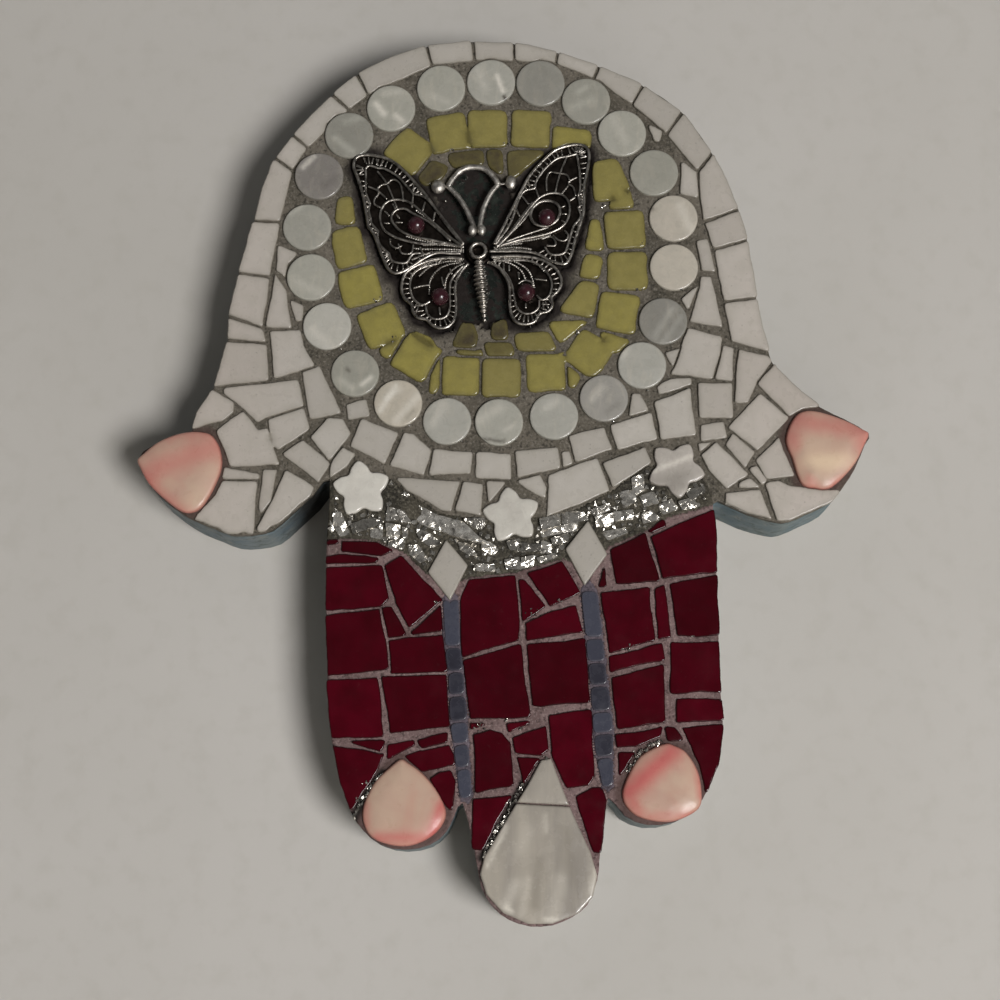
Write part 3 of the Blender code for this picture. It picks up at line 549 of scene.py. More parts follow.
def pink_look():
    m = Look("rose_shell", 0.34, Coat_Weight=0.05, Coat_Roughness=0.14, Specular_IOR_Level=0.28)
    bands = m.noise(110, 3, 0.5, 1.2, (1.0, 1.0, 0.6))
    cream = m.mix(m.fit(m.noise(90, 3, 0.5, 1.0), 0.35, 0.7), linear(205, 178, 156), linear(197, 163, 146))
    streak = m.mix(m.fit(bands, 0.45, 0.7, 0, 0.35), cream, linear(204, 150, 134))
    pale = m.mix(m.fit(m.value("mark"), 0.0, -1.0), streak, linear(232, 206, 176))
    blush = m.mix(m.fit(m.value("mark"), 0.0, 1.0), pale, linear(204, 110, 106))
    soft = m.mix(m.near_edge(1.0, 0.45), blush, linear(196, 116, 104))
    colour = m.mix(m.near_edge(0.35, 0.6), soft, linear(142, 76, 72))
    rough = m.gloss(420, 0.24, 0.4)
    return m.finish(colour, rough, ((bands, 0.12, 0.0004), (m.noise(200, 2), 0.15, 0.0006)))


def grey_shell_look():
    m = Look("banded_shell", 0.24, Coat_Weight=0.4, Coat_Roughness=0.1)
    bands = m.noise(130, 3, 0.5, 0.6, (1.0, 1.0, 0.12))
    base = m.mix(m.fit(bands, 0.38, 0.62), linear(158, 151, 142), linear(182, 174, 161))
    hairs = m.noise(620, 3, 0.6, 0.6, (1.0, 1.0, 0.1))
    fine = m.patches(hairs, 0.45, 0.7, 0.2, base, linear(196, 187, 173))
    # Bright streaks by the "mark" value: bands in the shell, and on the rims and foot painted highlights.
    shine = m.mix(m.fit(m.value("mark"), 0.0, 1.0), fine, linear(226, 219, 206))
    shaded = m.mix(m.fit(m.value("mark"), 0.0, -1.0), shine, linear(112, 105, 94))
    edge = m.near_edge(0.5, 0.4)
    colour = m.mix(edge, shaded, linear(120, 114, 104))
    rough = m.gloss(420, 0.16, 0.34)
    return m.finish(colour, rough, ((bands, 0.15, 0.0004), (m.noise(240, 2), 0.15, 0.0006)))


def silver_look(name, bright, deep, low, high, dull=0.0):
    """Old silver: bright where it stands proud and near black in its hollows."""
    m = Look(name, 0.3, Metallic=1.0)
    height = m.math("MULTIPLY", m.axis("Y"), -1.0)
    share = m.fit(height, low, high)
    wear = m.math("MULTIPLY", share, m.fit(m.noise(600, 4, 0.65), 0.32, 0.62, 0.3, 1.0))
    base = m.mix(wear, deep, bright)
    rough = m.fit(m.noise(700, 3), 0.3, 0.7, 0.22 + dull, 0.48 + dull)
    return m.finish(base, rough, ((m.noise(1800, 3), 0.35, 0.0002),))


def pearl_look():
    m = Look("wine_bead_gloss", 0.2, Coat_Weight=0.2, Coat_Roughness=0.12)
    base = m.mix(m.fit(m.noise(700, 3), 0.35, 0.65), linear(50, 21, 28), linear(60, 28, 35))
    return m.finish(base, m.gloss(300, 0.18, 0.26, 2), ((m.noise(300, 2), 0.05, 0.0002),))


def paint_look():
    m = Look("brushed_paint", 0.6, Specular_IOR_Level=0.35)
    strokes = m.noise(1.0, 4, 0.6, 0.6, (130.0, 520.0, 130.0))
    base = m.mix(m.fit(strokes, 0.35, 0.65), linear(108, 118, 121), linear(126, 135, 135))
    blotch = m.patches(m.noise(75, 3, 0.6, 0.8), 0.42, 0.62, 0.7, base, linear(100, 119, 131))
    teal = m.mix(m.fit(m.axis("X"), 0.03, 0.09, 0, 0.4), blotch, linear(106, 124, 122))
    worn = m.patches(m.noise(260, 5, 0.7), 0.54, 0.66, 0.7, teal, linear(140, 145, 140))
    worn = m.patches(m.noise(330, 5, 0.75), 0.53, 0.62, 0.65, worn, linear(70, 78, 78))
    rough = m.gloss(300, 0.5, 0.75)
    # Painted shade: the paint is darkened by the notch between the left thumb and finger, for the deep shadow
    # there.
    worn = m.mix(m.value("grime"), worn, linear(22, 20, 17))
    return m.finish(worn, rough, ((strokes, 0.35, 0.0003), (m.noise(500, 3), 0.4, 0.0005)))


LOOKS = {
    "white": white_look(), "green": green_look(), "red": red_look(), "blue": blue_look(),
    "mirror": mirror_look(), "dark": dark_look(), "pink": pink_look(), "grey": grey_shell_look(),
    "disc": shell_look("pearly_shell", linear(170, 168, 155), linear(180, 178, 169), linear(140, 134, 130),
                       linear(198, 189, 173)),
    "bright": shell_look("white_shell", linear(198, 189, 180), linear(208, 204, 194), linear(214, 209, 198),
                         linear(220, 216, 206)),
    "palm": grout_look("grey_grout", linear(114, 107, 96), linear(82, 77, 67), linear(150, 143, 132)),
    "mauve": grout_look("mauve_grout", linear(136, 114, 112), linear(104, 84, 82), linear(170, 150, 146)),
    "pinkish": grout_look("pinkish_grout", linear(106, 96, 104), linear(82, 74, 82), linear(132, 121, 128)),
    "silver_bed": grout_look("silvery_grout", linear(82, 77, 66), linear(48, 45, 38), linear(136, 130, 116)),
    "wire": silver_look("silver_wire", (0.60, 0.56, 0.505), (0.06, 0.05, 0.043), 0.0194, 0.0202),
    "rubbed": silver_look("rubbed_silver", (0.74, 0.70, 0.64), (0.12, 0.105, 0.09), 0.0192, 0.0201, 0.16),
    "plate": silver_look("dark_silver", (0.08, 0.064, 0.053), (0.019, 0.015, 0.0125), 0.0188, 0.0200),
    "bead": pearl_look(), "paint": paint_look(),
}


# The board
def board():
    """The painted board, with its sawn side a little uneven and its edges rubbed, and its paint darkened by
    the notch between the left thumb and finger as painted shade. Returns its outline.
    """
    edge = curved(back_outline("board"), 2)
    normals = outward(edge)
    rows = []
    for inset, level in ((0.5, 0.0), (0.12, 0.0002), (0.0, 0.0008), (0.0, 0.004), (0.0, 0.008), (0.0, 0.012),
                         (0.0, 0.0152), (0.15, 0.0158), (0.5, BOARD_TOP)):
        row = edge - normals * inset * MM
        if inset == 0.0:
            push = [noise.noise((p[0] * 90, level * 160, p[1] * 90)) for p in row]
            row = row + normals * (np.array(push)[:, None] * 0.16 * MM - 0.1 * MM)
        rows.append([(p[0], -level, p[1]) for p in row])
    sheets = Sheets()
    count = len(edge)
    points = [p for row in rows for p in row]
    faces = []
    for r in range(len(rows) - 1):
        for i in range(count):
            j = (i + 1) % count
            faces.append((r * count + i, r * count + j, (r + 1) * count + j, (r + 1) * count + i))
    faces.append(tuple(range(count - 1, -1, -1)))
    faces.append(tuple((len(rows) - 1) * count + i for i in range(count)))
    # Painted shade: the paint near the notch between the left thumb and finger is darkened, where shadow falls
    # between them.
    notch = spot(319, 506, BOARD_TOP / 2)
    gaps = [math.hypot(x - notch.x, z - notch.y) for x, _, z in points]
    sheets.add(points, faces, grime=[max(0.0, min(1.0, 1.35 - gap / (9 * MM))) for gap in gaps])
    made = sheets.piece("board_wood", LOOKS["paint"], "board_paint", ("board",))
    for polygon in made.data.polygons:
        if len(polygon.vertices) > 4:
            polygon.use_smooth = False
    return edge


board_edge = board()

# Tiles of each field, read from the frame
seats = []  # outlines of all that stands in the grout
labels = []  # places on the outlines of the fields, each with its field
FIELDS = ("white_mosaic", "green_mosaic", "mirror_band", "blue_strip_left", "blue_strip_right",
          "red_left", "red_middle", "red_right")
for field in FIELDS:
    for level, loops in flats(field, 1):
        for loop in loops:
            steps = nipped(loop, 0, 0.6 * MM, 0)
            labels += [(tuple(p), field) for p in steps]

BUTTERFLY_MIDDLE = np.array(spot(478, 250))
BUTTERFLY_SHADE_REACH = 29.5  # green pieces nearer the butterfly than this many millimetres get painted shade, darkened as if in its shadow
NEIGHBOURS = [back_outline(node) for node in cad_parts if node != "board" and node not in FIELDS]


def room(points, others, grow, joint=0.55 * MM):
    """How far each point of an outline may move outward before the joint to a neighbour gets too thin."""
    space = np.full(len(points), 1.0)
    low, high = points.min(0) - 3 * MM, points.max(0) + 3 * MM
    for loop in others:
        if (loop.max(0) > low).all() and (loop.min(0) < high).all():
            space = np.minimum(space, reach(points, loop))
    return np.clip((space - joint) / 2, 0, grow)[:, None]


BROKEN_RIM = np.array(spot(262, 538))


def bitten(edge):
    """The outline with bites out of it where the rim under the left thumb is broken."""
    worn = np.clip(1.5 - np.linalg.norm(edge - BROKEN_RIM, axis=1) / (14 * MM), 0, 1)
    worn = worn * (reach(edge, board_edge) < 1.4 * MM)
    bite = np.array([max(0.0, noise.noise((p[0] * 330, p[1] * 330, 2.5)) + 0.2) for p in edge])
    return edge - outward(edge) * (worn * bite)[:, None] * 1.3 * MM


def tile_piece(name, field, look, slot, corner=0.45 * MM, wobble=0.09 * MM, grow=0.1 * MM, sway=0.12 * MM,
               tones=(), **cut):
    """The tiles of one field, each a slab cut to its outline in the frame, from the top down."""
    sheets = Sheets()
    found = sorted(raised(field, GROUT + 0.1 * MM), key=lambda r: -r[1][:, 1].mean())
    for number, (level, loop) in enumerate(found):
        if abs(area(loop)) < 0.6 * MM * MM:
            continue
        edge = nipped(loop, corner, 0.7 * MM, wobble, number * 3.7, sway)
        others = [other for _, other in found if other is not loop] + NEIGHBOURS
        edge = edge + outward(edge) * room(edge, others, grow)
        if field == "white_mosaic":
            edge = bitten(edge)
        seats.append(edge)
        values = {}
        # Painted shade: a green piece near the butterfly gets a "dull" value that darkens it.
        if field == "green_mosaic":
            far = np.linalg.norm(edge.mean(0) - BUTTERFLY_MIDDLE) / MM
            values["dull"] = float(np.clip((BUTTERFLY_SHADE_REACH - far) / 3.0, 0, 1))
        if tones:
            values["tone"] = tones[number % len(tones)]
        slab(sheets, edge, TILE_FOOT, level + rng.uniform(-0.12, 0.1) * MM, **cut, **values)
    return sheets.piece(name, look, slot, (field,))


tile_piece("white_tiles", "white_mosaic", LOOKS["white"], "white_tile", bevel=0.3 * MM, bulge=0.08 * MM,
           grow=0.16 * MM, sway=0.3 * MM, wobble=0.14 * MM)
tile_piece("green_tiles", "green_mosaic", LOOKS["green"], "green_tile", corner=1.2 * MM, wobble=0.16 * MM,
           grow=0.5 * MM, bevel=0.5 * MM, bulge=0.22 * MM, bulge_width=2.4 * MM, tilt=0.02)
for side in ("left", "middle", "right"):
    tile_piece(f"red_glass_{side}", f"red_{side}", LOOKS["red"], "red_tile", corner=0.3 * MM, bevel=0.3 * MM,
               grow=0.24 * MM, sway=0.4 * MM, wobble=0.14 * MM, wave=0.04 * MM, tilt=0.014)
BLUE_TONES = {"left": (0.85, 0.0, 0.12, 0.0, 0.8, 0.6, 0.9), "right": (0.9, 0.6, 0.05, 0.1, 0.8, 0.1, 0.7)}
for side in ("left", "right"):
    tile_piece(f"blue_glass_{side}", f"blue_strip_{side}", LOOKS["blue"], "blue_tile", corner=1.0 * MM,
               bevel=0.25 * MM, grow=0.4 * MM, tones=BLUE_TONES[side])


# Shell pieces
# Streaks in the shell, each from one place to another in the view's units, its half width and its strength:
# above nought a bright streak (on a pink drop, a pink one), in part a painted highlight, as on the grey drop's
# rims and foot; below nought a dark nick. A very wide one tints the whole piece.
STREAKS = {
    "disc_01": ((497, 76, 503, 92, 2.6, 0.9), (504, 96, 506, 101, 1.8, -1.0), (478, 72, 486, 90, 5, 0.25)),
    "disc_02": ((540, 83, 541, 83, 60, -0.4),),
    "disc_05": ((656, 173, 657, 173, 60, -0.17),),
    "disc_07": ((674, 267, 675, 267, 60, 0.14),),
    "disc_03": ((586, 101, 587, 101, 60, -0.22), (579, 92, 586, 88, 3, 0.3), (572, 108, 592, 100, 5, 0.2)),
    "disc_04": ((612, 118, 626, 142, 5, 0.2),),
    "disc_06": ((674, 217, 675, 217, 60, 0.12), (650, 207, 653, 210, 2.2, -0.7), (680, 206, 690, 228, 5,
        0.35)),
    "disc_08": ((663, 322, 664, 322, 60, -0.44), (655, 336, 672, 310, 4, 0.3), (662, 344, 680, 318, 3,
        0.25)),
    "disc_09": ((622, 358, 628, 348, 3, 0.35),),
    "disc_10": ((592, 400, 602, 388, 4, 0.25), (607, 412, 618, 404, 3, -0.2)),
    "disc_11": ((545, 408, 556, 402, 4, 0.3),),
    "disc_12": ((484, 439, 504, 442, 1.8, -0.7), (478, 421, 500, 408, 5, 0.25), (505, 430, 512, 426, 3,
        0.3)),
    "disc_13": ((433, 425, 444, 405, 5, 0.25),),
    "disc_14": ((380, 411, 396, 386, 3.2, 0.75), (396, 421, 418, 396, 4, 0.55), (386, 398, 400, 390, 3,
        0.4), (406, 418, 414, 410, 2, -0.25)),
    "disc_15": ((355, 373, 356, 373, 60, -0.16), (362, 385, 371, 378, 2.8, 0.8), (347, 369, 349, 371, 2.0,
        -0.5), (340, 380, 352, 388, 4, 0.35)),
    "disc_16": ((327, 327, 328, 327, 60, 0.2), (312, 330, 326, 342, 5, 0.25)),
    "disc_17": ((298, 282, 318, 292, 5, 0.2),),
    "disc_18": ((306, 228, 307, 228, 60, -0.15), (290, 214, 302, 206, 3, 0.3)),
    "disc_19": ((320, 176, 321, 176, 60, -0.24), (303, 168, 314, 157, 3.2, 0.8), (324, 186, 336, 178, 4,
        -0.15)),
    "disc_20": ((349, 134, 350, 134, 60, -0.37), (335, 138, 352, 152, 4, 0.35), (346, 122, 358, 118, 4,
        0.25)),
    "disc_21": ((376, 104, 384, 114, 3.6, 0.75), (396, 116, 402, 121, 3.4, 0.65), (384, 94, 400, 92, 4,
        0.3)),
    "disc_22": ((432, 96, 448, 102, 4, 0.2),),
    "star_3": ((670, 470, 671, 470, 60, -0.18), (645, 474, 690, 457, 2.2, 0.8), (655, 482, 688, 476, 8,
        -0.22), (664, 490, 684, 486, 6, -0.2)),
    "star_1": ((350, 478, 368, 470, 4, 0.25),),
    # grey drop: the narrow bright streaks on its left and right rims and at its foot are painted highlights;
    # the others are bands in the shell
    "pear_body": ((505, 908, 516, 884, 6, 0.4), (522, 915, 528, 880, 4, 0.3), (551, 916, 562, 880, 8,
        0.35), (534, 905, 540, 860, 6, -0.3), (572, 880, 566, 830, 6, -0.22), (545, 816, 546, 832, 2.5,
        0.35), (488, 866, 506, 826, 2.0, 0.8), (590, 893, 596, 868, 2.2, 0.6), (505, 906, 512, 912, 2.5,
        0.7), (545, 920, 556, 919, 2.2, 0.7), (520, 850, 527, 830, 7, 0.2)),
    "pear_tip": ((541, 785, 541, 797, 14, 0.12),),
    "drop_thumb_left": ((142, 478, 216, 446, 14, 0.5), (148, 486, 180, 510, 9, 0.4), (170, 438, 205, 434,
        6, 0.3)),
    "drop_thumb_right": ((794, 420, 866, 432, 11, 0.55), (790, 436, 812, 484, 8, 0.5), (864, 446, 836,
        482, 8, 0.45), (806, 463, 850, 463, 12, -0.9)),
    "drop_finger_left": ((441, 806, 434, 830, 6, 0.9), (432, 838, 378, 838, 6, 0.7), (366, 806, 366, 824,
        5, 0.4)),
    "drop_finger_right": ((628, 792, 672, 752, 11, 0.95), (634, 806, 640, 812, 6, 0.6), (650, 816, 690,
        815, 4, 0.5), (698, 770, 700, 796, 4, 0.5)),
}


def marks(points, node):
    """How strongly a piece's streaks show at each of its points."""
    flat = np.array([(p[0], p[2]) for p in points])
    total = np.zeros(len(flat))
    for x0, y0, x1, y1, width, strength in STREAKS.get(node, ()):
        a, b = np.array(spot(x0, y0, FACE)), np.array(spot(x1, y1, FACE))
        along = np.clip((flat - a) @ (b - a) / max((b - a) @ (b - a), 1e-12), 0, 1)[:, None]
        far = np.linalg.norm(flat - (a + (b - a) * along), axis=1) / (width * VIEW_UNIT)
        total += strength * np.exp(-far**2)
    return list(np.clip(total, -1, 1))


def single(name, node, look, slot, edge, **cut):
    """A piece of its own, as high as its solid, with its streaks."""
    seats.append(wound(edge))
    sheets = Sheets()
    slab(sheets, edge, BED + 0.05 * MM, -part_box(node)[0].y, **cut)
    sheets.values["mark"] = marks(sheets.points, node)
    return sheets.piece(name, look, slot, (node,))


DISC_TONES = (0.25, 0.3, 0.15, 0.15, 0.1, 0.93, 0.95, 0.4, 0.33, 0.5, 0.3,
              0.2, 0.3, 1.0, 0.1, 0.33, 0.15, 0.2, 0.62, 0.2, 0.15, 0.15)
for i, tone in enumerate(DISC_TONES, 1):
    low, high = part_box(f"disc_{i:02d}")
    middle = np.array(((low.x + high.x) / 2, (low.z + high.z) / 2))
    radius = (high.x - low.x) / 2
    turn = np.linspace(0, 2 * math.pi, 56, endpoint=False)
    ragged = radius * np.array([1 + 0.008 * noise.noise((math.cos(a) * 1.5, math.sin(a) * 1.5, i * 7.1))
                                for a in turn])
    edge = middle + np.stack([np.cos(turn) * ragged, np.sin(turn) * ragged], axis=1)
    single(f"shell_disc_{i:02d}", f"disc_{i:02d}", LOOKS["disc"], "shell_disc", edge, bevel=0.42 * MM,
           bulge=0.1 * MM, bulge_width=3 * MM, tilt=0.02, wave=0.04 * MM, grid=0.6 * MM, tone=tone)
STAR_TONES = (1.0, 0.4, 0.1)
for i in (1, 2, 3):
    edge = curved(back_outline(f"star_{i}"), 4)
    single(f"shell_star_{i}", f"star_{i}", LOOKS["bright"], "bright_shell", edge, bevel=0.5 * MM,
           bulge=0.18 * MM, bulge_width=2.5 * MM, tilt=0.02, wave=0.05 * MM, grid=0.6 * MM,
           tone=STAR_TONES[i - 1])
for i in (1, 2):
    edge = nipped(back_outline(f"diamond_{i}"), 0.5 * MM, 0.6 * MM, 0.05 * MM, i)
    single(f"white_diamond_{i}", f"diamond_{i}", LOOKS["white"], "white_tile", edge, bevel=0.4 * MM,
           bulge=0.1 * MM, tone=0.0)

# How much wider than its solid a drop is shown, where the photograph shows its rim running out into the grout
DROP_GROWTH = {"drop_finger_left": 0.38 * MM}
pink_edges = []
for node in ("drop_thumb_left", "drop_thumb_right", "drop_finger_left", "drop_finger_right"):
    edge = wound(curved(back_outline(node), 3))
    edge = edge + outward(edge) * DROP_GROWTH.get(node, 0.0)
    pink_edges.append(edge)
    single(node.replace("drop", "pink_drop"), node, LOOKS["pink"], "pink_shell", edge, bevel=0.8 * MM,
           bulge=1.0 * MM, bulge_width=5.5 * MM, tilt=0.0, wave=0.05 * MM, grid=0.6 * MM)
for node in ("pear_body", "pear_tip"):
    edge = nipped(back_outline(node), 0.35 * MM, 0.7 * MM, 0.03 * MM, 2.0)
    single(node.replace("pear", "grey_drop"), node, LOOKS["grey"], "pearl_shell", edge, bevel=0.5 * MM,
           bulge=0.25 * MM, bulge_width=4 * MM, tilt=0.0, wave=0.05 * MM, grid=0.7 * MM)


# The butterfly, wire by wire
def strand(places, step=0.3 * MM, closed=False):
    """A smooth path through places on the face, in even steps, and how far along it each point is."""
    places = np.asarray(places, float)
    if closed:
        dense = curved(places, 8)
        dense = np.vstack([dense, dense[:1]])
    else:
        ends = np.vstack([2 * places[0] - places[1], places, 2 * places[-1] - places[-2]])
        dense = []
        for p0, p1, p2, p3 in zip(ends, ends[1:], ends[2:], ends[3:]):
            for k in range(8):
                t = k / 8
                dense.append(0.5 * (2 * p1 + (p2 - p0) * t + (2 * p0 - 5 * p1 + 4 * p2 - p3) * t * t
                                    + (3 * p1 - p0 - 3 * p2 + p3) * t**3))
        dense = np.array(dense + [places[-1]])
    spans = np.linalg.norm(np.diff(dense, axis=0), axis=1)
    far = np.concatenate([[0], np.cumsum(spans)])
    count = max(3, int(round(far[-1] / step)) + 1)
    at = np.linspace(0, far[-1], count)
    out = np.stack([np.interp(at, far, dense[:, 0]), np.interp(at, far, dense[:, 1])], axis=1)
    return (out[:-1], at[:-1]) if closed else (out, at)


def wire(sheets, places, radius, level, closed=False, flat=0.9, twist=0.0, pitch=0.7 * MM, sides=8,
         step=0.3 * MM, radii=None):
    """A round wire laid along a path, with a twist or beads on it where asked, and rounded ends."""
    spine, at = strand(places, step, closed)
    count = len(spine)
    size = np.full(count, radius) if radii is None else np.interp(at / at[-1], *radii)
    size = size * (1 + twist * np.cos(2 * math.pi * at / pitch))
    seed = rng.uniform(0, 90)
    size = size * (1 + 0.07 * np.array([noise.noise((a * 900, seed, 0)) for a in at]))
    if closed:
        way = np.roll(spine, -1, axis=0) - np.roll(spine, 1, axis=0)
    else:
        way = np.gradient(spine, axis=0)
        first, last = way[0] / np.linalg.norm(way[0]), way[-1] / np.linalg.norm(way[-1])
        spine = np.vstack([spine[0] - first * size[0] * 0.55, spine, spine[-1] + last * size[-1] * 0.55])
        way = np.vstack([way[:1], way, way[-1:]])
        size = np.concatenate([[size[0] * 0.55], size, [size[-1] * 0.55]])
        count += 2
    way = way / np.maximum(np.linalg.norm(way, axis=1), 1e-12)[:, None]
    across = np.stack([-way[:, 1], way[:, 0]], axis=1)
    points, faces = [], []
    for p, n, r in zip(spine, across, size):
        for k in range(sides):
            a = 2 * math.pi * k / sides
            x, z = p + n * (r * math.cos(a))
            points.append((x, -(level + r * flat * math.sin(a)), z))
    for i in range(count if closed else count - 1):
        j = (i + 1) % count
        for k in range(sides):
            m = (k + 1) % sides
            faces.append((i * sides + k, i * sides + m, j * sides + m, j * sides + k))
    if not closed:
        faces.append(tuple(range(sides - 1, -1, -1)))
        faces.append(tuple((count - 1) * sides + k for k in range(sides)))
    sheets.add(points, faces)


def lay(sheets, kind, places, **how):
    """A wire of one of the butterfly's kinds."""
    radius, level = WIRES[kind]
    wire(sheets, places, radius * MM, level * MM, **how)


def ball(sheets, middle, level, across, up, proud, rows=12, sides=20, uneven=0.012):
    """A rounded bead, wider or taller as asked, a little uneven."""
    points, faces = [], []
    for r in range(1, rows):
        tilt = math.pi * r / rows
        for k in range(sides):
            turn = 2 * math.pi * k / sides
            size = 1 + uneven * noise.noise((math.cos(turn) * 2, tilt * 2, middle[0] * 900))
            points.append((middle[0] + across * size * math.sin(tilt) * math.cos(turn),
                           -(level + proud * size * math.cos(tilt)),
                           middle[1] + up * size * math.sin(tilt) * math.sin(turn)))
    points += [(middle[0], -(level + proud), middle[1]), (middle[0], -(level - proud), middle[1])]
    for r in range(rows - 2):
        for k in range(sides):
            m = (k + 1) % sides
            faces.append((r * sides + k, (r + 1) * sides + k, (r + 1) * sides + m, r * sides + m))
    for k in range(sides):
        m = (k + 1) % sides
        faces.append((k, m, len(points) - 2))
        faces.append(((rows - 2) * sides + m, (rows - 2) * sides + k, len(points) - 1))
    sheets.add(points, faces)


def dashes(sheets, outer, inner, gap=1.55 * MM, most=3.6 * MM):
    """Short cross wires in the channel between two rims."""
    spine, at = strand(outer, 0.2 * MM)
    other, _ = strand(inner, 0.2 * MM)
    left = gap
    for i in range(1, len(spine)):
        left -= at[i] - at[i - 1]
        if left > 0:
            continue
        left = gap * rng.uniform(0.8, 1.2)
        far = np.linalg.norm(other - spine[i], axis=1)
        near = other[far.argmin()]
        if 0.9 * MM < far.min() < most:
            span = near - spine[i]
            lay(sheets, "dashes", [spine[i] + span * 0.24, spine[i] + span * 0.78], step=0.5 * MM)


